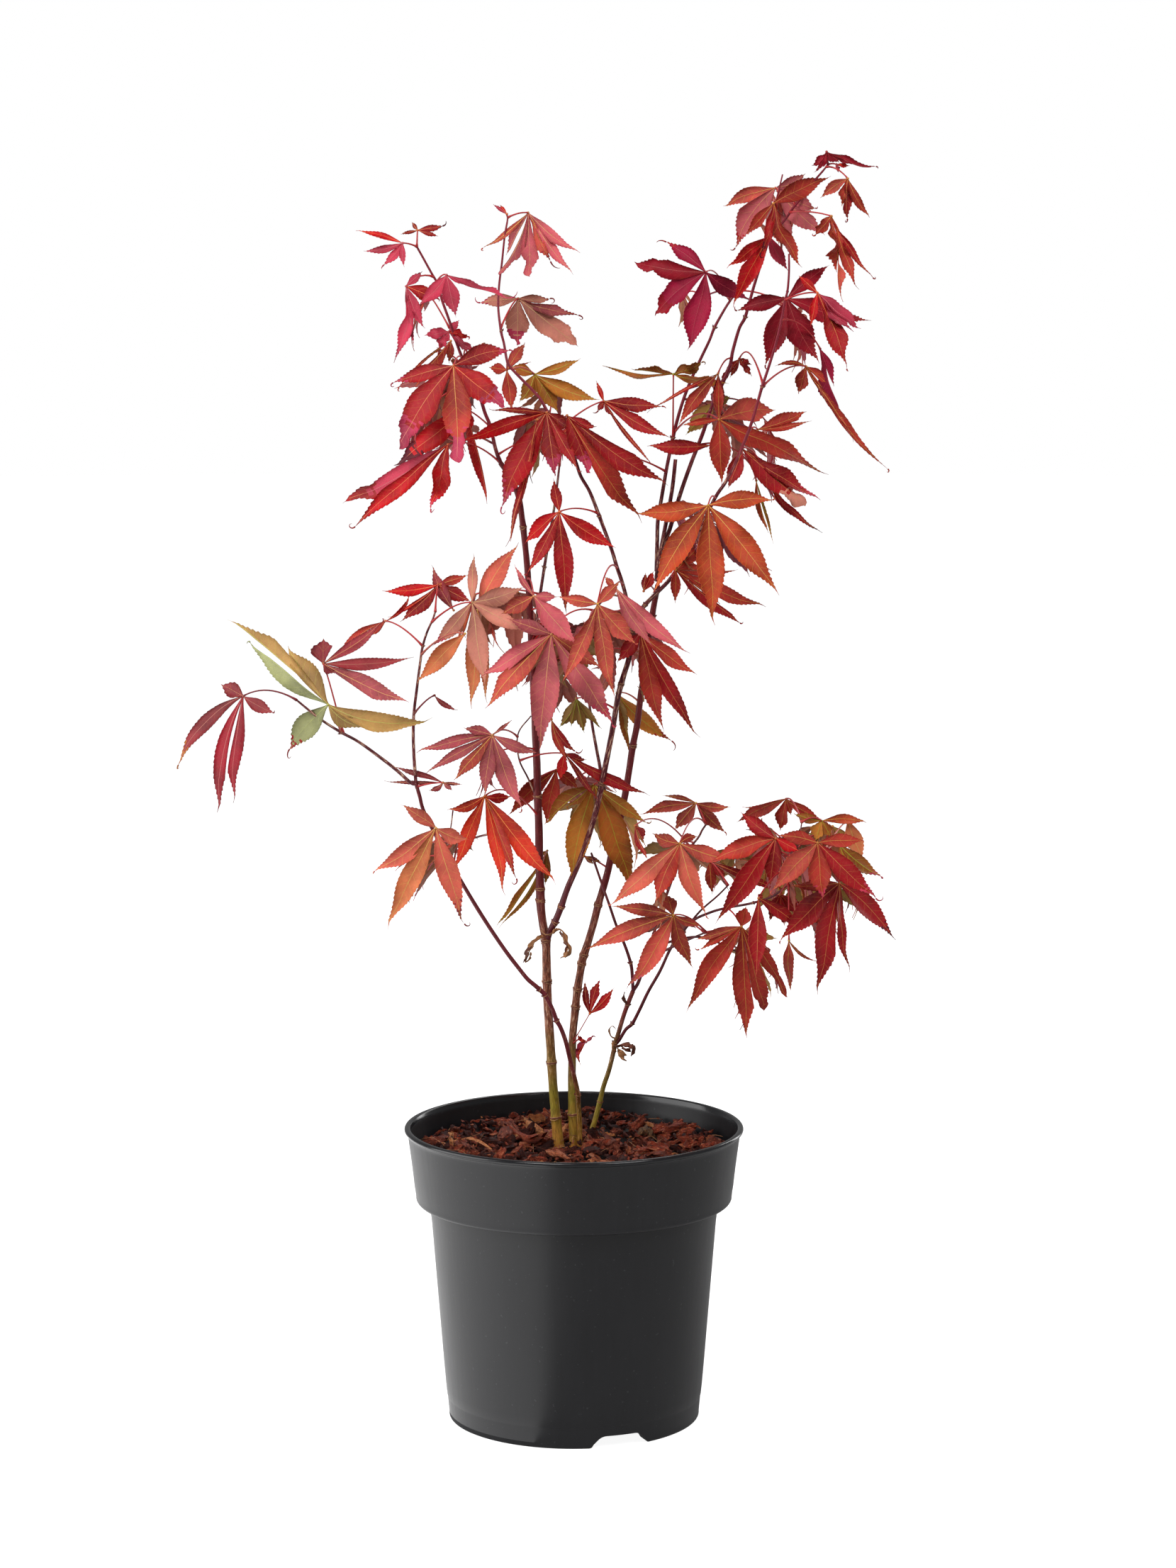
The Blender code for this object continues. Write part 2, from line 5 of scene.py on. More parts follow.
import bmesh
import bpy
import numpy as np
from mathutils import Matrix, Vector


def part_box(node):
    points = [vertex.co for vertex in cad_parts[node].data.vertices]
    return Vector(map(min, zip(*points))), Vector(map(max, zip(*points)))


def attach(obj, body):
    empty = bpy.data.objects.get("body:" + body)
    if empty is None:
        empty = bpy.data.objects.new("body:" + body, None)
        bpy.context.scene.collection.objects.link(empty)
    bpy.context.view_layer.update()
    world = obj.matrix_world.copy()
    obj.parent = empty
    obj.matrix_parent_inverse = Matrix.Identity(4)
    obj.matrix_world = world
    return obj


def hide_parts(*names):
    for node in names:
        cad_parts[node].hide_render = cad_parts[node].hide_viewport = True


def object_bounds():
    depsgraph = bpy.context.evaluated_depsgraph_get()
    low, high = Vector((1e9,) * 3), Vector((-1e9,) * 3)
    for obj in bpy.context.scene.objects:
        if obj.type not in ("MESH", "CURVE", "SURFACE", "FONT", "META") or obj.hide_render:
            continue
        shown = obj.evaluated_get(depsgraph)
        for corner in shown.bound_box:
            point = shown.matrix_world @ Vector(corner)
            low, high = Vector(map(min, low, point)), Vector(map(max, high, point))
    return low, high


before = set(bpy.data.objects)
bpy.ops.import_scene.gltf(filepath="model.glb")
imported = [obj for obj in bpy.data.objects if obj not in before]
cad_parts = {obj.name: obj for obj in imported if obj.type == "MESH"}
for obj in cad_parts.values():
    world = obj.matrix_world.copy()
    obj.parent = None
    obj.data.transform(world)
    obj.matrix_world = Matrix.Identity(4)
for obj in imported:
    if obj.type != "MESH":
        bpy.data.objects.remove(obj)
CAD_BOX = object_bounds()
MM = 0.001

# ------------------------------------------------------------------- camera
# The view's geometry, also used to place leaves where they show in the view.
FRAME_W, FRAME_H = 1659.0, 2212.0
FOCAL = 5367.0                       # in pixels of that frame
TILT = math.radians(7.19)            # below the horizon
CAM = np.array([0.0079, -2.094, 0.623])
FWD = np.array([0.0, math.cos(TILT), -math.sin(TILT)])
UPV = np.array([0.0, math.sin(TILT), math.cos(TILT)])
PX = 0.39                            # mm per pixel at the plant, for sizes only


def at_depth(u, v, y):
    """World point (m) seen at pixel (u, v) on the plane at depth y (mm)."""
    u, v, y = np.broadcast_arrays(np.asarray(u, float), np.asarray(v, float), np.asarray(y, float))
    a = (u - FRAME_W / 2) / FOCAL
    b = (FRAME_H / 2 - v) / FOCAL
    ry = FWD[1] + UPV[1] * b
    rz = FWD[2] + UPV[2] * b
    t = (y * MM - CAM[1]) / ry
    return np.stack([CAM[0] + a * t, y * MM, CAM[2] + rz * t], axis=-1)


def to_pixel(p):
    d = np.asarray(p, float) - CAM
    z = d @ FWD
    return FRAME_W / 2 + FOCAL * d[..., 0] / z, FRAME_H / 2 - FOCAL * (d @ UPV) / z


# ---------------------------------------------------------------- materials
def lin(r, g, b):
    """An 8-bit sRGB colour as linear values."""
    def f(c):
        c /= 255.0
        return c / 12.92 if c <= 0.04045 else ((c + 0.055) / 1.055) ** 2.4
    return (f(r), f(g), f(b), 1.0)


def shade(c, k):
    return (min(c[0] * k, 1.0), min(c[1] * k, 1.0), min(c[2] * k, 1.0), 1.0)


def blend(a, b, f):
    return tuple(a[i] * (1 - f) + b[i] * f for i in range(3)) + (1.0,)


class Nodes:
    def __init__(self, name, rough=0.5, spec=0.5):
        self.mat = bpy.data.materials.new(name)
        self.mat.use_nodes = True
        self.tree = self.mat.node_tree
        self.bsdf = self.tree.nodes["Principled BSDF"]
        self.bsdf.inputs["Roughness"].default_value = rough
        self.bsdf.inputs["Specular IOR Level"].default_value = spec

    def add(self, kind, **values):
        node = self.tree.nodes.new(kind)
        for key, value in values.items():
            if key.startswith("i_"):
                node.inputs[key[2:].replace("_", " ")].default_value = value
            else:
                setattr(node, key, value)
        return node

    def link(self, a, b):
        self.tree.links.new(a, b)

    def math(self, op, a, b=None, clamp=False):
        node = self.add("ShaderNodeMath", operation=op, use_clamp=clamp)
        for slot, value in zip(node.inputs, (a, b)):
            if value is None:
                continue
            if isinstance(value, (int, float)):
                slot.default_value = value
            else:
                self.link(value, slot)
        return node.outputs[0]

    def mix(self, fac, a, b, how="MIX"):
        node = self.add("ShaderNodeMix", data_type="RGBA", blend_type=how)
        for slot, value in ((node.inputs[0], fac), (node.inputs[6], a), (node.inputs[7], b)):
            if isinstance(value, (int, float)):
                slot.default_value = value
            elif isinstance(value, tuple):
                slot.default_value = value
            else:
                self.link(value, slot)
        return node.outputs[2]

    def noise(self, scale, detail=4.0, rough=0.55, vector=None, stretch=None, dist=0.0):
        node = self.add("ShaderNodeTexNoise")
        node.inputs["Scale"].default_value = scale
        node.inputs["Detail"].default_value = detail
        node.inputs["Roughness"].default_value = rough
        node.inputs["Distortion"].default_value = dist
        if vector is None:
            vector = self.add("ShaderNodeTexCoord").outputs["Object"]
        if stretch is not None:
            mapping = self.add("ShaderNodeMapping")
            mapping.inputs["Scale"].default_value = stretch
            self.link(vector, mapping.inputs["Vector"])
            vector = mapping.outputs[0]
        self.link(vector, node.inputs["Vector"])
        return node.outputs["Fac"]

    def ramp(self, fac, stops):
        node = self.add("ShaderNodeValToRGB")
        band = node.color_ramp
        while len(band.elements) < len(stops):
            band.elements.new(0.5)
        for element, (pos, col) in zip(band.elements, stops):
            element.position = pos
            element.color = col if isinstance(col, tuple) else (col, col, col, 1.0)
        self.link(fac, node.inputs[0])
        return node.outputs[0]

    def base(self, value):
        self.link(value, self.bsdf.inputs["Base Color"])

    def bump(self, height, strength, distance):
        node = self.add("ShaderNodeBump")
        node.inputs["Strength"].default_value = strength
        node.inputs["Distance"].default_value = distance
        self.link(height, node.inputs["Height"])
        self.link(node.outputs[0], self.bsdf.inputs["Normal"])


TINTS = {   # name: (upper colour, underside colour, rib colour)
    "br": (lin(184, 53, 44), lin(176, 98, 84), lin(208, 138, 62)),     # brick
    "dr": (lin(160, 22, 31), lin(172, 92, 92), lin(206, 118, 62)),     # deep red
    "dc": (lin(149, 15, 35), lin(150, 72, 82), lin(176, 70, 66)),      # dark crimson
    "cr": (lin(201, 57, 82), lin(178, 92, 98), lin(196, 92, 96)),      # crimson pink
    "rd": (lin(192, 11, 25), lin(196, 92, 88), lin(226, 112, 58)),     # bright red
    "rp": (lin(205, 89, 99), lin(190, 122, 118), lin(216, 156, 104)),  # rose pink
    "ds": (lin(184, 84, 91), lin(176, 118, 112), lin(214, 152, 92)),   # dusty rose
    "sr": (lin(200, 78, 68), lin(188, 122, 104), lin(220, 168, 74)),   # salmon rose
    "sa": (lin(219, 100, 83), lin(204, 138, 108), lin(224, 172, 92)),   # salmon
    "bo": (lin(180, 97, 39), lin(172, 128, 66), lin(176, 178, 48)),    # bronze olive
    "og": (lin(199, 119, 47), lin(178, 152, 62), lin(186, 188, 60)),  # olive gold
    "po": (lin(180, 136, 77), lin(184, 170, 128), lin(188, 186, 88)),  # pale olive
    "ot": (lin(218, 120, 78), lin(204, 158, 122), lin(216, 176, 88)),  # orange tan
    "ob": (lin(194, 72, 42), lin(192, 124, 92), lin(220, 160, 60)),    # orange brick
    "ma": (lin(145, 45, 51), lin(140, 80, 84), lin(164, 88, 70)),      # maroon
    "mr": (lin(146, 48, 57), lin(164, 104, 102), lin(192, 122, 78)),   # maroon rose
    "tn": (lin(206, 127, 109), lin(200, 140, 104), lin(200, 156, 104)),  # tan, underside out
    "pk": (lin(188, 52, 84), lin(206, 120, 128), lin(214, 120, 110)),  # dried pink tip
    "dk": (lin(92, 16, 30), lin(120, 50, 60), lin(120, 40, 46)),       # dark dried tip
    "wc": (lin(158, 20, 56), lin(160, 60, 84), lin(176, 60, 72)),      # wine crimson
    "tb": (lin(176, 92, 66), lin(176, 120, 96), lin(206, 158, 84)),    # tan brown
    "gn": (lin(160, 162, 112), lin(178, 180, 140), lin(184, 190, 110)),  # pale green
    "or": (lin(204, 46, 26), lin(200, 110, 80), lin(228, 132, 50)),    # orange red
}
VEIN_STEP = 5.4        # mm between side veins


def leaf_material(name, colour, vein, rough=0.5):
    """A leaf face: mottled colour, side veins that leave the rib at an angle,
    and a finer net between them. Attribute "lobe" holds mm across and along."""
    n = Nodes(name, rough, 0.17)
    attr = n.add("ShaderNodeAttribute", attribute_name="lobe")
    split = n.add("ShaderNodeSeparateXYZ")
    n.link(attr.outputs["Vector"], split.inputs[0])
    across = n.math("ABSOLUTE", split.outputs[0])
    wob = n.math("MULTIPLY", n.noise(0.16, 2.0, 0.5, vector=attr.outputs["Vector"]), 2.6)
    lead = n.math("SUBTRACT", n.math("SUBTRACT", split.outputs[1], n.math("MULTIPLY", across, 0.92)), wob)
    cell = n.math("FRACT", n.math("DIVIDE", lead, VEIN_STEP))
    ridge = n.math("ABSOLUTE", n.math("SUBTRACT", cell, 0.5))
    line = n.math("DIVIDE", n.math("SUBTRACT", ridge, 0.452), 0.036, clamp=True)
    net = n.add("ShaderNodeTexVoronoi", feature="DISTANCE_TO_EDGE")
    net.inputs["Scale"].default_value = 0.50
    n.link(attr.outputs["Vector"], net.inputs["Vector"])
    fine = n.math("SUBTRACT", 1.0, n.math("DIVIDE", net.outputs["Distance"], 0.055), clamp=True)
    veins = n.math("MAXIMUM", line, n.math("MULTIPLY", fine, 0.42))
    cloud = n.noise(60.0, 4.0, 0.6)
    patch = n.ramp(cloud, [(0.30, shade(colour, 0.62)), (0.50, colour), (0.76, shade(colour, 1.30))])
    tone = n.noise(0.045, 1.0, 0.4, vector=attr.outputs["Vector"])
    patch = n.mix(n.math("MULTIPLY", n.math("SUBTRACT", 0.53, tone), 3.2, clamp=True), patch, shade(colour, 0.42))
    patch = n.mix(n.math("MULTIPLY", n.math("SUBTRACT", tone, 0.53), 2.4, clamp=True), patch, shade(colour, 1.35))
    edge = n.math("MULTIPLY", n.math("SUBTRACT", n.noise(0.22, 3.0, 0.6, vector=attr.outputs["Vector"]), 0.56), 4.0, clamp=True)
    patch = n.mix(n.math("MULTIPLY", edge, 0.35), patch, blend(shade(colour, 0.7), lin(112, 96, 30), 0.35))
    speck = n.noise(900.0, 2.0, 0.5)
    patch = n.mix(n.math("MULTIPLY", n.math("SUBTRACT", speck, 0.35), 0.45, clamp=True), patch, shade(colour, 0.62))
    n.base(n.mix(n.math("MULTIPLY", veins, 0.42), patch, blend(colour, vein, 0.75)))
    n.bump(n.math("ADD", n.math("MULTIPLY", veins, -0.55), n.math("MULTIPLY", speck, 0.35)), 0.35, 0.0004)
    return n.mat


def plain_bark(name, colour, rough=0.5, vary=0.35):
    n = Nodes(name, rough, 0.5)
    cloud = n.noise(160.0, 4.0, 0.6, stretch=(1.0, 1.0, 0.25))
    n.base(n.ramp(cloud, [(0.3, shade(colour, 1 - vary)), (0.5, colour), (0.75, shade(colour, 1 + vary))]))
    n.bump(cloud, 0.3, 0.0003)
    return n.mat


MATS = {}


def mat(name):
    return MATS[name]


for key, (upper, under, rib) in TINTS.items():
    MATS["leaf_" + key] = leaf_material("leaf_" + key, upper, rib)
    MATS["under_" + key] = leaf_material("under_" + key, under, blend(under, rib, 0.5), 0.6)
    m = Nodes("rib_" + key, 0.45, 0.4)
    c = m.noise(300.0, 2.0)
    m.base(m.ramp(c, [(0.3, shade(rib, 0.82)), (0.7, shade(rib, 1.1))]))
    MATS["rib_" + key] = m.mat


# ------------------------------------------------------------ mesh gathering
class Batch:
    """Gathers grids of quads into one object, with the bake tiles laid out."""

    def __init__(self, name):
        self.name = name
        self.verts, self.lobe, self.count = [], [], 0
        self.quads, self.mats, self.tiles, self.uvs = [], [], 0, []
        self.slots = []

    def slot(self, name):
        if name not in self.slots:
            self.slots.append(name)
        return self.slots.index(name)

    def add(self, points, quads, names, lobe=None, uv=None):
        """points (n,3), quads (m,4), names one per quad, uv (m,4,2) within a tile."""
        points = np.asarray(points, float).reshape(-1, 3)
        quads = np.asarray(quads, int).reshape(-1, 4)
        self.verts.append(points)
        self.lobe.append(np.zeros_like(points) if lobe is None else lobe)
        self.quads.append(quads + self.count)
        self.count += len(points)
        if isinstance(names, str):
            names = [names] * len(quads)
        self.mats.append(np.array([self.slot(n) for n in names]))
        if uv is None:
            uv = np.tile(np.array([[0.0, 0], [1, 0], [1, 1], [0, 1]]), (len(quads), 1, 1))
        self.uvs.append((self.tiles, uv))
        self.tiles += 1

    def build(self, smooth=True, tall=4.0, sharp=None):
        verts = np.concatenate(self.verts)
        quads = np.concatenate(self.quads)
        mats = np.concatenate(self.mats)
        mesh = bpy.data.meshes.new(self.name)
        mesh.vertices.add(len(verts))
        mesh.vertices.foreach_set("co", verts.astype(np.float32).ravel())
        mesh.loops.add(len(quads) * 4)
        mesh.loops.foreach_set("vertex_index", quads.astype(np.int32).ravel())
        mesh.polygons.add(len(quads))
        mesh.polygons.foreach_set("loop_start", np.arange(0, len(quads) * 4, 4, dtype=np.int32))
        mesh.polygons.foreach_set("material_index", mats.astype(np.int32))
        mesh.polygons.foreach_set("use_smooth", np.full(len(quads), smooth))
        for s in self.slots:
            mesh.materials.append(MATS[s])
        rows = max(1, math.ceil(math.sqrt(self.tiles / tall)))
        cols = max(1, math.ceil(self.tiles / rows))
        laid = []
        for tile, uv in self.uvs:
            r, c = divmod(tile, cols)
            laid.append((np.asarray(uv) * 0.94 + 0.03 + np.array([c, r])) / np.array([cols, rows]))
        layer = mesh.uv_layers.new(name="OFBake")
        layer.data.foreach_set("uv", np.concatenate([x.reshape(-1, 2) for x in laid]).astype(np.float32).ravel())
        attr = mesh.attributes.new("lobe", "FLOAT_VECTOR", "POINT")
        attr.data.foreach_set("vector", np.concatenate(self.lobe).astype(np.float32).ravel())
        mesh.update(calc_edges=True)
        mesh.validate(verbose=False)
        if sharp:
            mesh.set_sharp_from_angle(angle=math.radians(sharp))
        obj = bpy.data.objects.new(self.name, mesh)
        bpy.context.scene.collection.objects.link(obj)
        return obj


def grid_quads(rows, cols, start=0, closed=False, flip=False):
    """Quads of a rows x cols grid of points, row by row."""
    out = []
    last = cols if closed else cols - 1
    for i in range(rows - 1):
        for j in range(last):
            a = start + i * cols + j
            b = start + i * cols + (j + 1) % cols
            c, d = b + cols, a + cols
            out.append((a, d, c, b) if flip else (a, b, c, d))
    return out


def unit(v):
    return v / np.maximum(np.linalg.norm(v, axis=-1, keepdims=True), 1e-12)


# ------------------------------------------------------------------- sweeps
def frames_along(path):
    """Tangent and two normals at each point, without twist."""
    tangent = unit(np.gradient(path, axis=0))
    side = np.zeros_like(path)
    first = np.cross(tangent[0], (0.0, 1.0, 0.0))
    if np.linalg.norm(first) < 0.2:
        first = np.cross(tangent[0], (1.0, 0.0, 0.0))
    side[0] = first / np.linalg.norm(first)
    for i in range(1, len(path)):
        s = side[i - 1] - tangent[i] * (side[i - 1] @ tangent[i])
        side[i] = s / np.linalg.norm(s)
    return tangent, side, np.cross(tangent, side)


def sweep(batch, path, radius, sides, name, relief=None, cap=True):
    """A closed tube along a path (m) with a radius (m) at each point. relief
    (rows, sides) is added to the radius. name: one, or one per row."""
    path = np.asarray(path, float)
    rows = len(path)
    radius = np.broadcast_to(np.asarray(radius, float), (rows,))
    _, side, up = frames_along(path)
    ang = np.linspace(0, 2 * math.pi, sides, endpoint=False)
    ring = np.cos(ang)[None, :, None] * side[:, None] + np.sin(ang)[None, :, None] * up[:, None]
    r = radius[:, None] * np.ones((1, sides))
    if relief is not None:
        r = r + relief
    pts = path[:, None] + ring * r[..., None]
    run = np.concatenate([[0], np.cumsum(np.linalg.norm(np.diff(path, axis=0), axis=1))])
    points = pts.reshape(-1, 3)
    quads, uvs, names = [], [], []
    for i in range(rows - 1):
        for j in range(sides):
            a, b = i * sides + j, i * sides + (j + 1) % sides
            quads.append((a, b, b + sides, a + sides))
            u0, u1 = j / sides, (j + 1) / sides
            v0, v1 = run[i] / run[-1], run[i + 1] / run[-1]
            uvs.append(((u0, v0), (u1, v0), (u1, v1), (u0, v1)))
            names.append(name if isinstance(name, str) else name[i])
    extra = []
    if cap:
        for end, k in ((0, 0), (rows - 1, rows - 1)):
            centre = len(points) + len(extra)
            extra.append(path[end])
            base = k * sides
            for j in range(0, sides, 2):
                a, b, c = base + j, base + (j + 1) % sides, base + (j + 2) % sides
                quads.append((centre, c, b, a) if end == 0 else (centre, a, b, c))
                uvs.append(((0.5, 0.01), (0.51, 0.01), (0.51, 0.02), (0.5, 0.02)))
                names.append(name if isinstance(name, str) else name[0 if end == 0 else -1])
        points = np.concatenate([points, np.array(extra)])
    lobe = np.zeros_like(points)
    lobe[:rows * sides, 1] = np.repeat(run / MM, sides)
    lobe[:rows * sides, 0] = (r * np.cos(ang)).ravel() / MM
    lobe[:rows * sides, 2] = (r * np.sin(ang)).ravel() / MM
    batch.add(points, quads, names, lobe=lobe, uv=np.array(uvs))
    return pts


def smooth_path(knots, step):
    """Catmull-Rom through the knots, sampled every step (same unit)."""
    k = np.asarray(knots, float)
    ext = np.vstack([2 * k[0] - k[1], k, 2 * k[-1] - k[-2]])
    fine = []
    for i in range(len(k) - 1):
        p0, p1, p2, p3 = ext[i:i + 4]
        f = np.linspace(0, 1, 40, endpoint=False)[:, None]
        fine.append(0.5 * (2 * p1 + (p2 - p0) * f + (2 * p0 - 5 * p1 + 4 * p2 - p3) * f ** 2
                           + (3 * p1 - p0 - 3 * p2 + p3) * f ** 3))
    fine = np.vstack(fine + [k[-1:]])
    run = np.concatenate([[0], np.cumsum(np.linalg.norm(np.diff(fine, axis=0), axis=1))])
    n = max(4, int(round(run[-1] / step)))
    want = np.linspace(0, run[-1], n + 1)
    return np.stack([np.interp(want, run, fine[:, i]) for i in range(fine.shape[1])], axis=1)


# -------------------------------------------------------------------- limbs
# Knots are (pixel u, pixel v, depth y in mm) along each limb; r is the radius
# in mm at the foot and tip; rings are the leaf scars, at these pixel rows.
LIMBS = {
    "stem_left": dict(
        knots=((788, 1617, 19), (785, 1583, 18.5), (781, 1542, 18), (778, 1498, 17), (775, 1450, 16), (772, 1401, 15),
               (771, 1353, 14), (770, 1326, 13), (766, 1304, 14), (763, 1280, 15), (762, 1252, 16), (761, 1209, 17),
               (760, 1166, 18), (758, 1110, 18), (757, 1067, 18), (755, 1024, 18), (752, 958, 17), (749, 890, 15),
               (745, 815, 13), (741, 771, 11), (737, 735, 9), (731, 699, 7), (719, 672, 6), (706, 653, 5)),
        r=(2.6, 1.5), flare=1.30, rings=(1577, 1498, 1386, 1326, 1271, 1256, 1124, 745)),
    "stem_middle": dict(
        knots=((810, 1617, 19), (808, 1583, 19.5), (807, 1542, 20), (807, 1498, 20.5), (808, 1462, 21), (811, 1430, 22),
               (814, 1401, 22.5), (819, 1370, 23), (822, 1353, 23), (830, 1328, 23.5), (837, 1304, 24), (843, 1280, 24),
               (846, 1269, 24), (856, 1235, 25), (864, 1200, 25.5), (879, 1136, 26), (887, 1090, 26), (893, 1051, 25.5),
               (899, 1021, 25), (904, 981, 24.5), (909, 949, 24), (916, 895, 23), (921, 863, 22.5), (928, 825, 22)),
        r=(2.3, 1.6), flare=1.2, rings=(1570, 1419, 1395, 1358, 1349, 1276, 1053, 870)),
    "stem_right": dict(
        knots=((829, 1609, 30), (837, 1588, 29.5), (845, 1559, 29), (851, 1534, 28), (859, 1510, 27), (865, 1486, 26.5),
               (868, 1471, 26), (872, 1459, 25), (879, 1435, 24), (885, 1418, 23), (893, 1398, 22)),
        r=(1.42, 1.2), flare=1.25, rings=(1556, 1473, 1416, 1398)),
    "bough_left": dict(
        knots=((818, 1618, 15), (818, 1590, 13), (817, 1571, 10), (815, 1542, 5), (811, 1522, 2), (805, 1498, -1),
               (798, 1469, -5), (791, 1450, -8), (785, 1439, -9), (779, 1423, -11), (769, 1404, -13), (758, 1393, -15),
               (745, 1382, -17), (735, 1370, -18.5), (715, 1344, -22), (695, 1315, -25), (675, 1284, -28.5),
               (654, 1249, -32), (626, 1200, -36), (599, 1147, -40), (592, 1123, -42), (587, 1106, -43)),
        r=(1.3, 1.0), flare=1.15, rings=(1544, 1439, 1404, 1396, 1108)),
    "bough_centre": dict(
        knots=((771, 1330, 13), (776, 1314, 11), (784, 1298, 9), (791, 1281, 7), (801, 1252, 4), (816, 1218, 1),
               (830, 1180, -1), (841, 1143, -3), (849, 1105, -4), (858, 1061, -5), (866, 1018, -6), (871, 987, -7),
               (876, 966, -8), (881, 949, -9), (887, 929, -10), (891, 900, -11), (894, 873, -12)),
        r=(1.75, 1.45), rings=(1300, 1277, 1105, 966, 890)),
    "shoot_top_left": dict(
        knots=((706, 653, 5), (699, 633, 3), (692, 602, 1), (684, 582, 0), (674, 551, -2), (653, 507, -4), (643, 480, -6),
               (633, 450, -8), (623, 422, -10), (618, 402, -11), (608, 384, -12), (597, 364, -13), (588, 348, -14)),
        r=(1.05, 0.55), rings=(648, 507, 352)),
    "shoot_centre": dict(
        knots=((893, 880, -12), (879, 826, -14), (870, 799, -15), (863, 776, -16), (845, 727, -18), (832, 694, -19),
               (819, 671, -20), (809, 643, -20), (790, 609, -20), (773, 582, -19), (763, 564, -18), (750, 549, -16),
               (735, 534, -15), (720, 518, -13), (715, 508, -12), (711, 485, -10), (707, 468, -9), (703, 435, -6),
               (704, 404, -3), (708, 371, -1), (712, 333, 1), (716, 310, 2), (715, 303, 2)),
        r=(1.1, 0.5), rings=(727, 582, 468)),
    "shoot_back_right": dict(
        knots=((926, 806, 23), (927, 770, 25), (928, 735, 26), (932, 710, 28), (939, 669, 31), (944, 643, 33),
               (953, 602, 35), (964, 564, 37), (977, 531, 38), (990, 503, 40), (1001, 480, 41), (1008, 462, 42),
               (1023, 435, 44), (1036, 415, 46), (1043, 399, 47)),
        r=(1.15, 0.65), rings=(618, 462)),
    "stub_right": dict(
        knots=((926, 815, 22), (932, 778, 18), (940, 735, 17), (948, 692, 17), (953, 648, 18)),
        r=(1.2, 1.05), rings=(), blunt=True),
    "shoot_tall_right": dict(
        knots=((926, 820, 22), (933, 781, 20), (946, 743, 19), (959, 699, 18.5), (974, 656, 18), (990, 615, 18),
               (997, 595, 18), (1005, 572, 18), (1028, 521, 18), (1034, 494, 18), (1043, 463, 18), (1051, 448, 18),
               (1059, 420, 17), (1065, 399, 17), (1076, 365, 16), (1089, 330, 15), (1105, 313, 14), (1120, 292, 13),
               (1135, 274, 12), (1148, 256, 12), (1161, 241, 11), (1168, 232, 11)),
        r=(1.25, 0.55), rings=(448, 330)),
    "shoot_front_right": dict(
        knots=((889, 878, -11), (913, 850, -13), (928, 835, -15), (949, 812, -17), (980, 762, -21), (1008, 704, -26),
               (1023, 681, -28), (1036, 656, -30), (1046, 633, -31), (1059, 600, -33), (1069, 567, -34), (1075, 546, -35),
               (1084, 519, -36), (1094, 486, -37), (1102, 453, -38), (1107, 425, -38), (1111, 410, -38),
               (1113, 384, -38), (1113, 358, -38)),
        r=(1.15, 0.55), rings=(852, 546)),
    "bough_left_low": dict(
        knots=((587, 1106, -43), (579, 1104, -43), (559, 1086, -44), (533, 1066, -46), (505, 1046, -48),
               (481, 1033, -49), (457, 1018, -50), (436, 1002, -51), (419, 988, -52)),
        r=(1.0, 0.6), rings=(1033,)),
    "bough_left_inner": dict(
        knots=((587, 1108, -43), (586, 1095, -42), (584, 1066, -40), (583, 1035, -38), (584, 1005, -36), (588, 972, -33),
               (593, 933, -30), (596, 913, -29), (602, 893, -27), (610, 875, -25), (614, 863, -24)),
        r=(0.95, 0.55), rings=(913,)),
    "bough_right_inner": dict(
        knots=((893, 1398, 22), (892, 1378, 20), (890, 1360, 18), (882, 1335, 15), (870, 1307, 12), (859, 1275, 9),
               (847, 1241, 7), (834, 1203, 5)),
        r=(0.95, 0.6), rings=(1360, 1213)),
    "bough_right_back": dict(
        knots=((893, 1398, 22), (900, 1387, 23), (905, 1372, 25), (918, 1330, 31), (936, 1275, 39), (959, 1215, 48),
               (984, 1183, 53), (990, 1172, 54), (996, 1163, 55)),
        r=(1.0, 0.55), rings=(1372,)),
    "bough_right_low": dict(
        knots=((868, 1473, 26), (873, 1468, 25), (883, 1452, 22), (892, 1444, 20), (902, 1425, 16), (915, 1398, 11),
               (931, 1370, 5), (949, 1333, -3), (975, 1301, -9), (1000, 1288, -14), (1024, 1281, -19),
               (1061, 1274, -28), (1090, 1264, -35), (1113, 1246, -41), (1127, 1230, -45)),
        r=(0.98, 0.55), rings=(1444, 1333, 1274)),
    "bough_right_front": dict(
        knots=((929, 1345, 1), (955, 1333, -8), (975, 1324, -16), (996, 1315, -24)),
        r=(0.75, 0.5), rings=(1333,)),
    "bough_back": dict(
        knots=((868, 1180, 26), (858, 1140, 36), (846, 1080, 56), (835, 1020, 78), (828, 965, 92)),
        r=(1.15, 0.7), rings=(1090,)),
    "shoot_back": dict(
        knots=((750, 935, 16), (756, 880, 26), (768, 800, 46), (782, 715, 62), (790, 650, 74)),
        r=(1.0, 0.6), rings=(800,)),
}
TWIGS = [   # small twigs that carry petioles: knots as above, then radii in mm
    ("bough_side", ((755, 1121, 18), (745, 1098, 14), (732, 1070, 8), (731, 1035, 2), (749, 1010, -2)), (0.55, 0.35)),
    ("tip_side", ((1088, 325, 15), (1092, 295, 14), (1099, 267, 14), (1104, 246, 14)), (0.5, 0.4)),
    ("side_low", ((949, 1333, -3), (972, 1304, -3), (989, 1284, -4), (1012, 1264, -6), (1027, 1249, -8)), (0.7, 0.45)),
    ("side_low_b", ((1113, 1246, -41), (1121, 1215, -40), (1128, 1180, -38), (1131, 1160, -36)), (0.5, 0.35)),
    ("side_low_c", ((1127, 1230, -45), (1142, 1218, -50), (1160, 1205, -54)), (0.5, 0.35)),
    ("cross_low", ((639, 1143, -36), (637, 1160, -36), (634, 1180, -36)), (0.4, 0.3)),
]
GROUND_Z = 0.1493


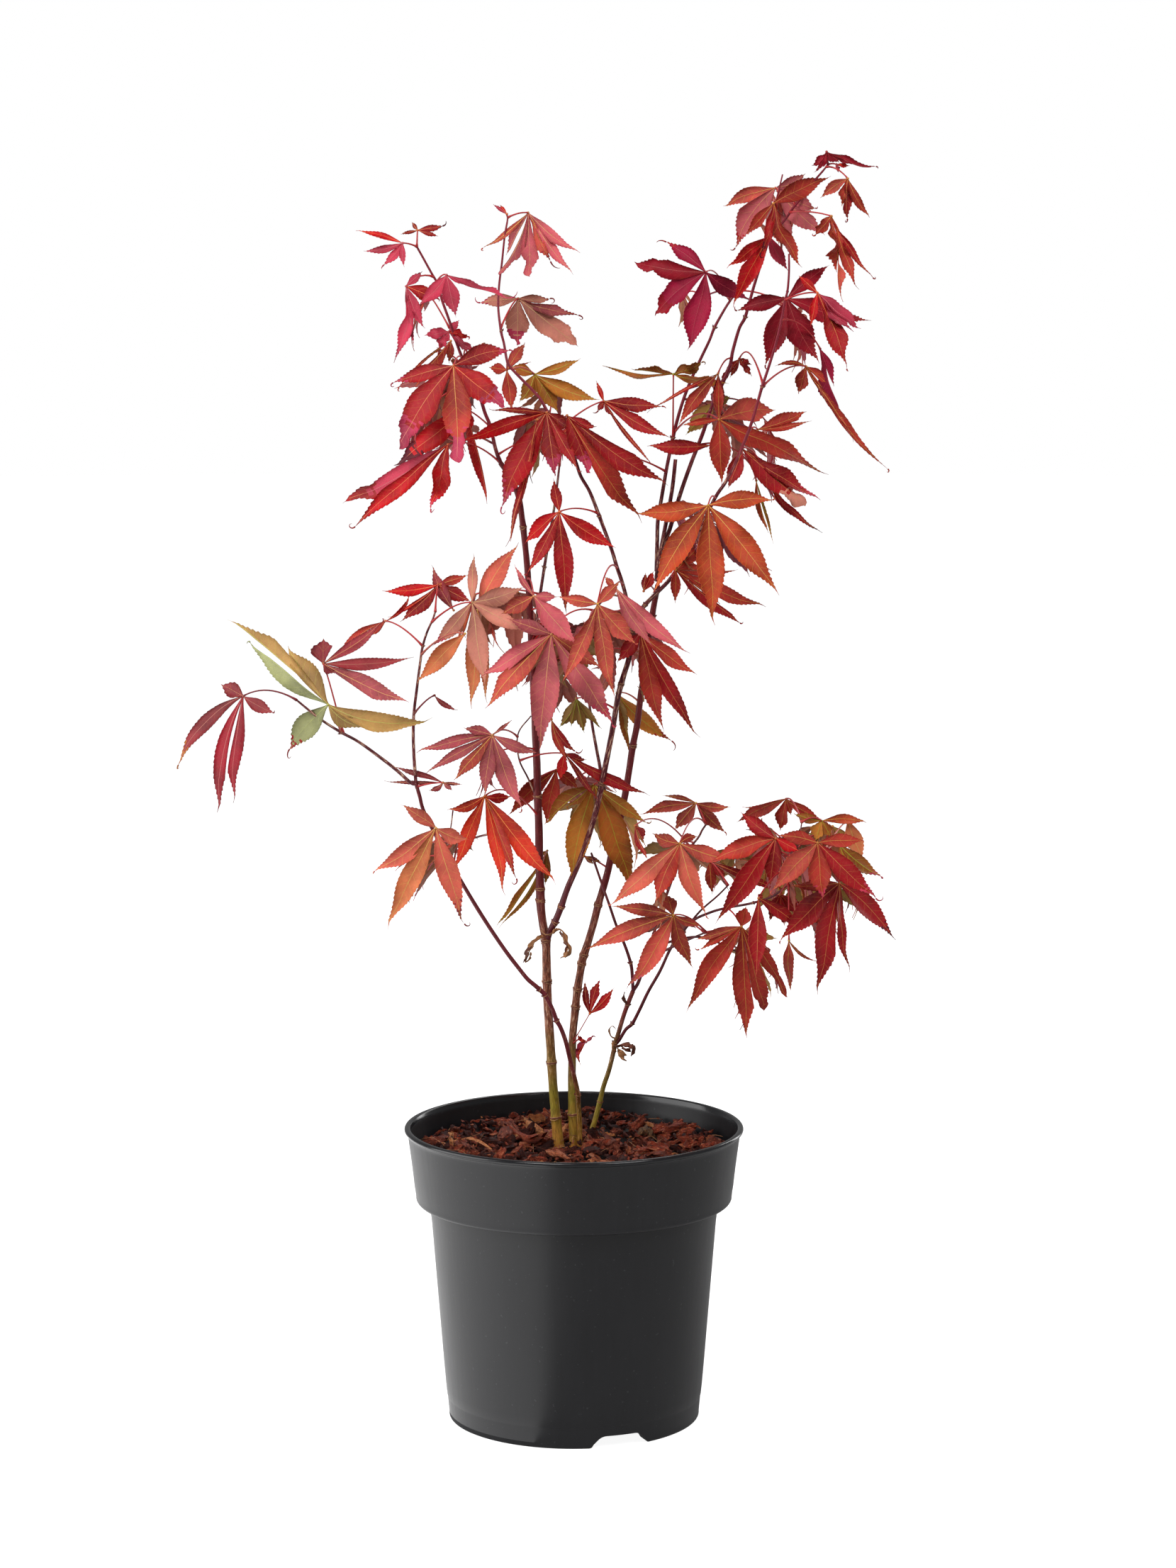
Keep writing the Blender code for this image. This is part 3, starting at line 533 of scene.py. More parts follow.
def limb_points(spec, step):
    """Limb centreline as (u, v, y) rows and world points in metres."""
    uvy = smooth_path(np.array(spec["knots"], float) * [1, 1, 1 / PX], step / PX)
    uvy[:, 2] *= PX
    world = at_depth(uvy[:, 0], uvy[:, 1], uvy[:, 2])
    return uvy, world


LIMB_UVY = {}
for limb_name, limb_spec in LIMBS.items():
    LIMB_UVY[limb_name] = limb_points(limb_spec, 1.6)
TWIG_UVY = {}
for twig_name, knots, radii in TWIGS:
    TWIG_UVY[twig_name] = limb_points(dict(knots=knots), 1.6)


def bark_material(name, low, mid, high, z0, z1, gloss):
    """Bark whose colour changes up the stem, with fissures and lenticels."""
    n = Nodes(name, 0.5, 0.22)
    coord = n.add("ShaderNodeTexCoord")
    split = n.add("ShaderNodeSeparateXYZ")
    n.link(coord.outputs["Object"], split.inputs[0])
    wander = n.math("MULTIPLY", n.noise(60.0, 3.0), 0.05)
    height = n.math("ADD", split.outputs[2], n.math("SUBTRACT", wander, 0.025))
    up1 = n.math("DIVIDE", n.math("SUBTRACT", height, z0), 0.045, clamp=True)
    up2 = n.math("DIVIDE", n.math("SUBTRACT", height, z1), 0.035, clamp=True)
    along = n.add("ShaderNodeAttribute", attribute_name="lobe").outputs["Vector"]
    streak = n.noise(1.15, 5.0, 0.70, vector=along, stretch=(1.0, 0.15, 1.0))
    fleck = n.noise(1.3, 3.0, 0.6, vector=along, stretch=(1.0, 0.22, 1.0))
    c_low = n.ramp(streak, [(0.30, shade(low, 0.35)), (0.48, shade(low, 0.85)), (0.58, low), (0.72, shade(low, 1.5))])
    c_mid = n.ramp(streak, [(0.36, shade(mid, 0.20)), (0.46, shade(mid, 0.7)), (0.53, mid), (0.66, lin(232, 190, 158))])
    c_high = n.ramp(streak, [(0.28, shade(high, 0.6)), (0.5, high), (0.78, shade(high, 1.6))])
    colour = n.mix(up1, c_low, c_mid)
    colour = n.mix(up2, colour, c_high)
    orange = n.math("SUBTRACT", 1.0, n.math("DIVIDE", n.math("SUBTRACT", height, 0.150), 0.022, clamp=True))
    colour = n.mix(n.math("MULTIPLY", orange, 0.85), colour,
                   n.ramp(streak, [(0.3, lin(122, 66, 26)), (0.6, lin(206, 132, 62))]))
    dots = n.math("DIVIDE", n.math("SUBTRACT", fleck, 0.66), 0.05, clamp=True)
    colour = n.mix(n.math("MULTIPLY", dots, 0.5), colour, lin(196, 170, 130))
    n.base(colour)
    n.bump(n.math("ADD", n.math("MULTIPLY", streak, 0.8), n.math("MULTIPLY", dots, 0.4)), 0.5, 0.0005)
    n.bsdf.inputs["Coat Weight"].default_value = gloss * 1.3
    n.bsdf.inputs["Coat Roughness"].default_value = 0.22
    return n.mat


MATS["bark_main"] = bark_material("bark_main", lin(150, 132, 46), lin(150, 82, 58), lin(112, 36, 40), 0.178, 0.262, 0.06)
MATS["bark_bough"] = bark_material("bark_bough", lin(150, 128, 44), lin(124, 52, 40), lin(110, 34, 42), 0.152, 0.182, 0.12)
MATS["bark_right"] = bark_material("bark_right", lin(164, 148, 54), lin(136, 84, 56), lin(130, 52, 48), 0.168, 0.200, 0.08)
MATS["bark_young"] = bark_material("bark_young", lin(108, 34, 42), lin(108, 30, 42), lin(132, 34, 50), 0.30, 0.52, 0.16)
MATS["ring"] = plain_bark("ring", lin(186, 138, 92), 0.7, 0.5)
MATS["collar"] = plain_bark("collar", lin(122, 66, 48), 0.7, 0.62)
MATS["bud"] = plain_bark("bud", lin(110, 32, 34), 0.5)
MATS["cut_wood"] = plain_bark("cut_wood", lin(150, 112, 84), 0.8)
MATS["petiole_red"] = plain_bark("petiole_red", lin(188, 44, 46), 0.4, 0.2)
MATS["petiole_pink"] = plain_bark("petiole_pink", lin(196, 100, 84), 0.4, 0.2)
MATS["petiole_wine"] = plain_bark("petiole_wine", lin(128, 30, 42), 0.4, 0.2)
MATS["dead_leaf"] = plain_bark("dead_leaf", lin(172, 118, 74), 0.7, 0.6)
MATS["dead_dark"] = plain_bark("dead_dark", lin(112, 62, 44), 0.75, 0.6)


def bark_relief(rows, sides, rng, amount, run):
    """Long fissures: noise that changes slowly along and quickly round."""
    phases = rng.uniform(0, 2 * math.pi, (7, 2))
    ang = np.linspace(0, 2 * math.pi, sides, endpoint=False)[None, :]
    out = np.zeros((rows, sides))
    for k, (p, q) in enumerate(phases):
        m = 2 + k
        out += np.sin(m * ang + p + 1.6 * np.sin(run[:, None] / (3.0 + 2 * k) + q)) / (1 + 0.4 * k)
    return amount * out / 3.0


def build_limb(name, spec, uvy, world, batch, material):
    rng = np.random.default_rng(sum(map(ord, name)) * 7 + 3)
    run = np.concatenate([[0], np.cumsum(np.linalg.norm(np.diff(world, axis=0), axis=1))]) / MM
    t = run / run[-1]
    r0, r1 = spec["r"]
    r = r0 + (r1 - r0) * t ** 1.2
    if "flare" in spec:
        low = world[:, 2] < GROUND_Z + 0.05
        r = r * np.where(low, 1 + (spec["flare"] - 1) * np.exp(-np.maximum(world[:, 2] - GROUND_Z, 0) / 0.009), 1.0)
    marks = []
    for v in spec.get("rings", ()):
        i = int(np.argmin(np.abs(uvy[:, 1] - v)))
        marks.append(run[i])
        r = r * (1 + 0.15 * np.exp(-((run - run[i]) / 1.1) ** 2) + 0.06 * np.exp(-((run - run[i]) / 4.0) ** 2))
    if not spec.get("blunt"):
        r = r * np.where(t > 0.985, 0.9, 1.0)
    sides = 20 if r0 > 1.6 else 14
    relief = bark_relief(len(world), sides, rng, 0.055 * r0 if r0 > 1.6 else 0.03 * r0, run) * MM
    sweep(batch, world, r * MM, sides, material, relief=relief)
    # raised pale scar rings, and a bud or two at each
    for m in marks:
        i = int(np.argmin(np.abs(run - m)))
        if i < 2 or i > len(world) - 3:
            continue
        d = unit(world[i + 1] - world[i - 1])
        side = unit(np.cross(d, (0, 1, 0)))
        wide = 0.62 if r0 > 1.6 else 0.4
        band = np.linspace(-1, 1, 9)
        collar = r[i] * (0.985 + 0.05 * np.cos(band * math.pi / 2)) - 0.02
        rough = rng.normal(0, 0.022, (9, 20)) * r[i] * MM
        edge = 0.5 * np.sin(np.linspace(0, 2 * math.pi, 20, endpoint=False) * 2 + rng.uniform(0, 6))
        rough = rough - (np.abs(band[:, None] * 1.15 + 0.2 * edge[None]) > 1.0) * 0.10 * r[i] * MM
        sweep(batch, world[i] + d * (band * wide * MM)[:, None], collar * MM, 20, "collar", relief=rough)
        for off in ((-0.62, 0.45) if r0 > 1.7 else (0.0,)):
            turn = np.linspace(0, 2 * math.pi, 21)
            up = np.cross(d, side)
            tilt, bent = rng.uniform(-0.35, 0.35), rng.uniform(0, 6.28)
            wander = 0.22 * np.sin(turn * 2 + bent) + 0.12 * np.sin(turn * 5 + bent * 2)
            ringpts = np.array([world[i] + d * (off + tilt * math.cos(a) * r[i] + w_) * MM
                                + (side * math.cos(a) + up * math.sin(a)) * (r[i] * 0.97) * MM for a, w_ in zip(turn, wander)])
            wave = 0.13 + 0.10 * np.sin(turn * 3 + bent) * np.sin(turn * 7 + bent)
            wave[-1] = wave[0]
            sweep(batch, ringpts, wave * MM * (0.75 + 0.26 * r0), 6, "ring")
        for s in (-1, 1):
            if rng.random() < 0.75:
                size = rng.uniform(0.45, 0.85)
                foot = world[i] + side * s * r[i] * 0.8 * MM
                tip = foot + (side * s * 0.75 + d * 1.0) * size * 1.6 * MM
                path = np.linspace(foot, tip, 6)
                prof = np.array([0.5, 0.62, 0.6, 0.48, 0.28, 0.06]) * size
                sweep(batch, path, prof * MM, 8, "bud")
    return r


BARK_OF = {"stem_left": "bark_main", "stem_middle": "bark_main", "stem_right": "bark_right", "bough_left": "bark_bough"}
pieces = []


def place(obj, *nodes):
    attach(obj, "root")
    if nodes:
        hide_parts(*nodes)
    pieces.append(obj)
    return obj


for limb_name, limb_spec in LIMBS.items():
    b = Batch("bark_" + limb_name)
    uvy, world = LIMB_UVY[limb_name]
    if "flare" in limb_spec:   # a foot that stands just on the ground
        keep = world[:, 2] > GROUND_Z - 0.0001
        foot = world[keep][0].copy()
        foot[2] = GROUND_Z
        world = np.vstack([foot, world[keep][1:]])
        uvy = uvy[keep]
    build_limb(limb_name, limb_spec, uvy, world, b, BARK_OF.get(limb_name, "bark_young"))
    piece = place(b.build(tall=0.3, sharp=70), limb_name)

# ------------------------------------------------------------------- leaves
GROUPS = {
    "TL": "foliage_top_left", "PK": "foliage_peak", "UL": "foliage_upper_left", "UM": "foliage_upper_middle",
    "LS": "foliage_left_shoulder", "CE": "foliage_centre", "HE": "foliage_heart", "LO": "foliage_left_outer",
    "LL": "foliage_left_low", "TR": "foliage_top_right", "RU": "foliage_right_upper", "RM": "foliage_right_middle",
    "RB": "foliage_right_big", "RL": "foliage_right_low", "SK": "foliage_skirt", "SP": "foliage_sprout",
    "BM": "foliage_back_middle", "BU": "foliage_back_upper",
}
# One leaf a line: name, spray, depth, "u" if its underside is out | junction | petiole foot or - | lobes.
# A lobe is tip u,v then width, bow, marks; "!x" gives its tip a dried tint,
# "~" crumples it and "=" gives it a torn broad end.
LEAVES = """
L1 TL -22 | 568,343 | 587,350 | 502,326,9,-3 513,354,12,3 540,375,13,2 571,377,10,-2
L2 TL -12 | 589,325 | 588,348 | 565,330,5 581,313,6 627,319,10,,!dk 618,333,7
L3 TL -30 | 630,388 | 616,398 | 722,419,22,-4,!pk~ 643,448,26,,!pk 588,430,22,4 668,401,12
L4 TL -24 | 573,404 | 612,392 | 596,383,12,,!dk 619,422,22 600,463,20,-3 556,512,20,9,!pk~ 583,489,14,,!pk~
L5 PK 6 | 745,300 | 715,306 | 680,352,9,4 704,388,24,6,= 714,360,22 748,390,31,,= 777,371,27,,!dc~ 808,388,19,-3 818,357,17,-5
L6 PK 2 | 715,302 | 715,303 | 696,288,5 705,289,5
L7 PK 8 | 731,421 | 710,463 | 675,426,19,,!pk 778,420,17,-3,!dr 818,446,22,-3,!dc~ 815,489,38,,= 729,487,36,,!pk=
L8 UL -6 | 633,468 | 645,487 | 599,474,20,,~ 618,492,24,,~ 648,452,11 662,476,16,,~ 672,499,14,,~
L9 UL 8 | 636,481 | - | 582,546,24 562,548,4,-5 634,513,12
L10 UL -38 | 640,516 | 655,512 | 553,541,24,-2,!pk 564,634,46,-7,!pk= 648,653,44,,!pk= 712,574,40,,!pk= 720,493,29,5,!pk
L11 UM 6 | 715,522 | 715,512 | 740,483,18 722,580,22 690,518,17 749,511,5
L12 UM 2 | 754,528 | 722,519 | 819,505,16,-3 846,563,25,-6 789,581,27 733,568,24,3 721,516,18
L13 UL -8 | 632,627 | 706,653 | 484,711,30,5,!dr= 499,745,27,-3,!dr 609,721,34,,!cr~
L14 UL 8 | 655,576 | 700,600 | 687,711,25,4 555,656,34,3,!dk= 664,611,20
L15 UM -24 | 771,582 | 773,582 | 647,628,22,-3 706,717,42,-4,!pk 783,672,30,,!pk= 690,576,9 817,665,24 806,606,20
L15b UM -30 | 758,592 | - | 712,771,12,3 720,764,10
L16 UM -30 | 800,586 | 787,602 | 842,601,18,-5 942,686,42,-5 904,739,44,-3 833,667,30,,!pk=
L17 UM -12 | 852,566 | 818,590 | 841,537,7 936,573,24,-2 946,618,22,-4 843,580,9 928,660,6,-5 866,588,12
L18 CE -34 | 789,722 | 840,727 | 780,675,17 740,767,27,-2 743,812,22,2 800,868,29 869,773,27,-3
L19 LS 4 | 618,825 | 613,863 | 539,833,18,4 564,877,25,2 661,812,15 664,850,21 547,870,6,5
L20 LS -10 | 640,861 | - | 608,797,19,3
L21 LS -28 | 666,850 | 614,880 | 667,781,15 740,828,28,-3 747,895,25 683,968,32 610,912,23,2,!cr
L21b LS -14 | 674,860 | - | 731,765,31,4 666,1000,30 744,889,22 688,992,18
L22 CE -70 | 753,841 | 746,815 | 726,796,9,2 707,866,25 786,842,15 815,914,35
L23 CE -60 | 778,895 | 753,880 | 715,873,21 684,999,35,-3 758,1063,43 864,1026,42,3,!cr 847,943,30 678,957,28
L24 CE -78 | 843,852 | 871,803 | 785,842,18 874,820,19 898,910,33,-2 867,986,27,-3 793,963,24,3
L25 CE -48 | 868,829 | 879,826 | 974,921,24,-6 921,912,22,-3 853,814,10
L26 HE -16 | 904,892 | 894,880 | 937,1033,32,-3 983,952,25,-4 989,1040,25,-6 871,936,23 925,869,21
L27 HE 38 | 870,978 | 903,990 | 949,1047,25,-5,!dr 884,1040,19 889,1066,19,4
L28 HE 34 u | 813,985 | 866,1000 | 788,1026,19,4 825,1034,19 849,1028,15,-3 806,1025,21 842,1021,19
L29 HE -24 | 778,1015 | 752,960 | 814,1063,13,-5,!dr 804,1076,12,-4,!dr
L30 HE 4 | 797,1063 | 738,1071 | 789,1101,17 917,1124,21,-4 828,1072,15,-3 843,1131,9
L31 HE 30 | 785,1086 | 759,1100 | 716,1150,26,-3 768,1163,27 817,1112,19
L32 HE 9 | 838,1107 | 849,1105 | 767,1162,31,-4 803,1252,38,-4 896,1264,43,3 915,1161,22,-3 800,1140,18
L33 LL -30 | 695,1037 | 731,1038 | 722,1016,5 588,1063,18,-4 600,1093,17,-3 640,1100,23 681,1124,25 735,1144,29,-2 760,1063,17,-3 654,1026,18
L34 LL -26 | 684,1123 | 757,1150 | 631,1143,15,5 643,1230,23,-2 714,1263,23,2 730,1241,21,,!dr 783,1249,33,-2 721,1123,15,-3
L35 LL -54 | 615,1168 | 626,1200 | 565,1136,20,-2 527,1231,28,3 549,1312,33,-3 658,1305,33,-3,!mr 661,1185,24,-4
L36 HE 36 | 772,1200 | 762,1230 | 699,1310,16,4 704,1310,12,8 770,1249,13 752,1221,18
L37 HE 22 u | 824,1208 | 852,1225 | 848,1216,8 838,1219,6
L38 LO -58 | 343,982 | 419,988 | 312,965,24 387,1006,20,-2 250,1081,21,-14,!bo 305,1146,25,-9 328,1133,24,-4
L39 LO -56 | 463,994 | 481,1033 | 321,875,46,-7 352,903,38,3 407,911,42,4 610,1011,30,-17 513,1025,25,-7 406,1058,36,-3,!dr
L40 LO -36 | 456,936 | 486,1036 | 456,901,38 542,876,17,-3 584,927,19,-5 577,991,30,-4 472,950,18
L41 LS -20 | 544,876 | 595,913 | 513,899,18,-2 474,924,16,-4 580,836,6,-6
L42 LS -36 | 656,894 | 593,925 | 587,965,28,-2
L43 LO -26 | 613,981 | 588,1008 | 646,1001,8,-4
L44 LO -50 | 625,1104 | 590,1108 | 554,1083,9,-2 542,1101,6,2 605,1115,9,3 638,1115,7 652,1107,5
L45 TR 4 | 1166,214 | 1168,232 | 1238,236,13,-5,~ 1218,232,11,-3,~ 1184,229,17 1145,233,14,4,~ 1148,243,12,3,~
L46 TR 10 | 1180,232 | 1168,232 | 1199,234,7,,~ 1183,243,7,,~
L47 TR 0 | 1196,252 | 1168,236 | 1157,279,17,-2 1188,291,18,,~ 1195,311,22,-2,!dc~ 1226,307,13,-3
L48 TR 22 | 1094,265 | 1099,268 | 1020,290,22,-3 1035,351,40,-7,!dr 1136,245,20,-4 1153,293,32,-5 1163,332,34,-3
L49 TR -8 | 1091,287 | 1092,293 | 1172,248,29,2 1071,358,17,5,!dk~ 1132,377,24,-6,~ 1051,333,18
L50 RU -6 | 1085,333 | 1089,330 | 1026,379,19 1035,434,27,-3 1112,382,19,-2
L50b TR 24 | 1096,296 | 1099,268 | 1098,345,26 1118,350,22
L51 RU -10 | 1173,305 | 1118,300 | 1181,384,54,3,~~ 1190,426,24,,~~ 1232,394,10,-5,~ 1213,408,22,-2,~ 1149,333,20,,~
L52 RU -2 | 996,384 | 1036,427 | 937,341,24,-3,!dr 895,369,29,4,!dc= 924,446,36,-6,!dc= 969,494,39,2 1058,421,27,-4
L53 RU -18 | 1110,421 | 1111,410 | 1037,438,24,-2,!dr 1170,374,23,2 1229,452,31,-5,!dr~ 1079,517,34,,!dr 1155,513,44,-4,!dr
L54 RU -46 | 1153,413 | 1108,424 | 1127,389,13 1215,463,26,-3,~ 1143,461,13 1194,523,34,4,~ 1204,468,24,-4,~~
L55 RU -8 | 1157,492 | 1103,450 | 1193,599,30,-3,~ 1176,545,20
L57 RU -24 | 1137,517 | 1075,548 | 1093,516,7,-5 1127,556,22 1255,664,14,-9,~ 1196,606,17,-2,~ 1203,624,11,3,~ 1166,540,18
L58 RM 26 | 950,528 | 949,618 | 850,516,14,5,~ 1028,542,18,-3,~ 992,511,24,-2,~ 891,520,20,,~
L59 RM 22 | 1043,506 | 1068,540 | 1014,541,14,,~ 1060,515,9,,~ 1060,531,11,,~ 1030,533,9
L60 RM 4 | 1013,527 | 1043,506 | 956,602,22,-4 1016,590,17 913,583,5,-3
L61 RM -10 | 1014,592 | 960,612 | 1013,531,15 1094,578,42,5 1169,669,32,,~ 1018,684,32 961,602,10,-2
L62 RM -2 | 1003,628 | - | 913,630,23,2
L63 RM 26 u | 1008,568 | 1005,575 | 967,614,28 1030,560,16
L64 RM -22 | 1069,606 | 1056,610 | 1138,581,27,-2 1145,594,11,-2
L65 RM -14 | 1048,634 | 1044,640 | 1157,706,28,-3,!cr~ 1136,714,38,,!tn= 1027,689,23
L66 RM -4 | 1080,668 | 1052,634 | 1160,752,12,-10,!dk~ 1065,655,12
L67 RM 4 | 1067,678 | 1050,640 | 1084,752,13,-3 1091,767,5
L68 RB -50 | 999,713 | 1008,704 | 896,722,30,4 1092,704,27,4 918,839,38,-4 1010,882,42,-2 1099,840,40,3
L69 RB -22 | 953,804 | 948,815 | 990,768,25 1002,803,17 1041,803,19,-3 1046,880,23,-2 953,851,15 1080,857,24,-5 1012,846,26
L70 RB -26 | 908,834 | 926,838 | 922,806,16 911,808,10
L71 RL 58 | 982,1133 | 996,1163 | 903,1148,19,-3 934,1123,7,-3 950,1171,23 1031,1139,15,-3 1024,1175,19,-2
L72 RL 30 | 1109,1127 | 1131,1160 | 1039,1160,23,-3 1101,1172,25 1160,1155,15,-3 1047,1138,7,5 1116,1150,12
L73 RL -24 | 1159,1158 | 1131,1160 | 1120,1147,15,2 1222,1161,15,4 1150,1186,25 1172,1180,22
L74 RL 0 | 1196,1157 | 1160,1205 | 1219,1214,26,-2 1190,1152,7
L75 RL -14 | 1184,1192 | 1160,1205 | 1244,1239,23,-3,!cr 1200,1236,16
L76 RL -26 | 959,1190 | 996,1165 | 920,1176,21,3 860,1277,31 923,1274,33,-2 996,1294,29,-3 1032,1213,25,-3 984,1180,14,3
L77 SK -36 | 896,1165 | 959,1185 | 916,1213,13,-3 908,1187,20
L78 SK -32 | 950,1291 | 995,1316 | 861,1279,19,-2 824,1340,28,-3 884,1399,31,3,!rp 979,1366,23,-4 991,1305,13,-3 940,1261,22
L79 SK -54 | 1094,1183 | 1113,1246 | 1045,1145,23,2 1004,1215,30,-4 1009,1304,33 1086,1252,26 1127,1200,20
L80 SK -74 | 1153,1189 | 1127,1232 | 1097,1178,21,-2 1219,1186,21,2 1087,1258,33 1160,1269,35,,!cr 1236,1270,32,,!cr
L81 SK -60 | 1184,1246 | 1160,1210 | 1100,1330,38,-3 1155,1404,37,-2 1264,1326,29,5,!dk 1197,1373,15,-4,~ 1113,1252,17
L82 SK -86 | 1070,1267 | 1107,1221 | 1067,1381,27 1131,1310,20,2 1076,1262,9
L83 SK -44 | 1046,1307 | 1024,1281 | 981,1327,17 984,1339,11 968,1430,31,-5 1055,1467,36 1077,1427,38,2,= 1112,1406,20,3,= 1052,1278,24
L84 SK -52 | 1113,1327 | 1113,1250 | 1117,1399,17,-3,~ 1156,1357,5,-6
L85 RL 10 | 1001,1215 | 1027,1249 | 1004,1262,17 1024,1238,18 1115,1262,14
L86 SK -40 | 1100,1262 | 1113,1246 | 1106,1306,22 1084,1300,18 1130,1290,18
S0 SP -2 | 832,1430 | 822,1469 | 825,1383,10,2 847,1380,17,2,!cr 867,1393,16,-2
S1 SP 4 | 827,1470 | 812,1472 | 812,1489,15,-2,~ 819,1503,7,-7,~ 836,1462,5 815,1459,7,3,~
"""
COVER_STEP = 3
cover = np.full((int(FRAME_H) // COVER_STEP + 2, int(FRAME_W) // COVER_STEP + 2), 1e9)


def lobe_profile(t, rng):
    p = 1.62 + rng.uniform(-0.14, 0.14)
    q = 1.86 + rng.uniform(-0.16, 0.20)
    f = t ** p * (1 - t) ** q
    peak = p / (p + q)
    return f / (peak ** p * (1 - peak) ** q) * (1 - 0.40 * np.clip((t - 0.70) / 0.22, 0, 1) * (1 - 0.5 * t))


def make_leaf(batch, mapper, lobes, rng, plane, tint, facing=1, y_step=0.10, coarse=False):
    """A palmate leaf. mapper(a, b, c) turns mm right, mm down and mm of depth
    at the junction into metres. lobes: dicts with tip (a, b) mm, width, bow,
    tint, dried. plane: depth per mm right and per mm down, droop and cup."""
    slope_a, slope_b, droop, cup = plane
    ang = [math.atan2(l["tip"][1], l["tip"][0]) for l in lobes]
    order = sorted(range(len(lobes)), key=lambda i: ang[i])
    for rank, i in enumerate(order):
        lobe = lobes[i]
        gap_prev = gap_next = math.radians(78)
        if len(lobes) > 1:
            a_prev, a_next = ang[order[rank - 1]], ang[order[(rank + 1) % len(order)]]
            gap_prev = (ang[i] - a_prev) % (2 * math.pi) or 2 * math.pi
            gap_next = (a_next - ang[i]) % (2 * math.pi) or 2 * math.pi
        half_prev = min(gap_prev / 2, math.radians(75))
        half_next = min(gap_next / 2, math.radians(75))
        tip = np.array(lobe["tip"], float)
        length = float(np.linalg.norm(tip))
        e = tip / length
        n = np.array([-e[1], e[0]])              # towards the next lobe
        width = lobe["width"]
        rows = int(np.clip(round(length / (1.9 if coarse else 1.05)), 10 if coarse else 14, 24 if coarse else 46))
        if rows % 2:
            rows += 1
        t = np.linspace(0, 1, rows + 1)
        t = 0.5 * t + 0.5 * (1 - (1 - t) ** 1.25)
        t[0], t[-1] = 0.004, 1.0
        f = lobe_profile(np.clip(t, 0, 0.9995), rng)
        f = f + 0.06 * (t < 0.3) * (1 - t / 0.3)
        crumple, ragged = lobe.get("crumple", 0.0), lobe.get("ragged", 0.0)
        if ragged:                                   # a broad end that has dried and torn
            f = np.where(t > 0.5, np.maximum(f, np.interp(t, (0.5, 0.72, 0.93, 1.0), (0.9, 0.72, 0.42, 0.03)) * ragged), f)
        if crumple:
            f = f * (1 + 0.30 * np.sin(t * rng.uniform(9, 15) + rng.uniform(0, 6)) * np.clip(t / 0.2, 0, 1) * crumple)
        half = width / 2 * f
        tooth = np.zeros(rows + 1)
        tooth[1:-1:2] = 1.0
        body = np.clip((t - 0.13) / 0.12, 0, 1) * np.clip((0.965 - t) / 0.1, 0, 1)
        bite = (0.021 * width + 0.09) * (1.0 + 0.5 * (lobe.get("dried") is not None) * np.clip((t - 0.62) / 0.2, 0, 1))
        bite = bite * (1 - 0.35 * ragged * np.clip((t - 0.6) / 0.15, 0, 1)) * (1 + 0.4 * crumple)
        torn = [np.zeros(rows + 1), np.zeros(rows + 1)]
        if ragged:
            for side_, edge in enumerate(torn):
                for k in (13.0, 24.0, 41.0):
                    edge += width * 1.1 / k * np.sin(t * k + rng.uniform(0, 6)) * np.clip((t - 0.6) / 0.12, 0, 1) * (t < 0.99)
        amp = bite * (0.4 + 1.2 * rng.random(rows + 1)) * body
        amp2 = bite * (0.4 + 1.2 * rng.random(rows + 1)) * body
        r_at = t * length
        cap_n = r_at * math.tan(min(half_next, 1.25)) + 0.12
        cap_p = r_at * math.tan(min(half_prev, 1.25)) + 0.12
        left = np.minimum(half + (tooth - 0.45) * amp + torn[0], cap_n)
        right = np.minimum(half + (tooth - 0.45) * amp2 + torn[1], cap_p)
        left[-1] = right[-1] = 0.035
        left = np.maximum(left, 0.035)
        right = np.maximum(right, 0.035)
        lead = tooth * body * 0.55 * length / rows   # teeth point to the tip
        rib = np.minimum(0.21 * (1 - 0.62 * t) * (0.75 + length / 130), np.minimum(left, right) * 0.45)
        s = np.array([-1.0, -0.52, 0.0, 0.0, 0.0, 0.52, 1.0])
        cols = 7
        off = np.zeros((rows + 1, cols))
        off[:, 0], off[:, 1], off[:, 5], off[:, 6] = -right, -0.52 * right, 0.52 * left, left
        off[:, 2], off[:, 4] = -rib, rib
        along = np.repeat(r_at[:, None], cols, axis=1)
        along[:, 0] += lead
        along[:, 6] += lead
        bow = lobe.get("bow", 0.0)
        tt = along / length
        hook = rng.uniform(-0.035, 0.035) * length * np.clip((tt - 0.74) / 0.2, 0, 1.3) * np.clip((1.02 - tt) / 0.1, 0, 1)
        wave = rng.uniform(-0.012, 0.012) * length * np.sin(tt * rng.uniform(5, 9) + rng.uniform(0, 6)) * tt * (1 - tt) * 3
        shift = bow * 4 * tt * (1 - tt) + hook + wave
        seen = off
        if crumple:                                  # rolls round its rib and wanders
            k1, k2 = rng.uniform(4.5, 7.5), rng.uniform(9, 14)
            spin = crumple * np.clip(tt / 0.22, 0, 1) * (
                1.05 * np.sin(tt * k1 + rng.uniform(0, 6)) + 0.5 * np.sin(tt * k2 + rng.uniform(0, 6)))
            shift = shift + crumple * 0.034 * length * np.sin(tt * rng.uniform(7, 11) + rng.uniform(0, 6)) * np.clip(tt / 0.25, 0, 1) * (1.04 - tt)
            seen = off * np.cos(spin) + 0.22 * np.abs(off) * np.sin(spin * 1.7)
        a = e[0] * along + n[0] * (seen + shift)
        b = e[1] * along + n[1] * (seen + shift)
        phase = rng.uniform(0, 6.28, 4)
        twist = lobe.get("twist", rng.uniform(-0.22, 0.22))
        dist2 = along ** 2 / 60.0
        depth = slope_a * a + slope_b * b + droop * dist2 * lobe.get("bend", 1.0)
        fold = lobe.get("fold", cup * rng.uniform(0.3, 1.7))
        depth = depth - fold * np.abs(off) * facing * (1 - 0.45 * tt) + twist * off * (0.4 + tt)
        if crumple:
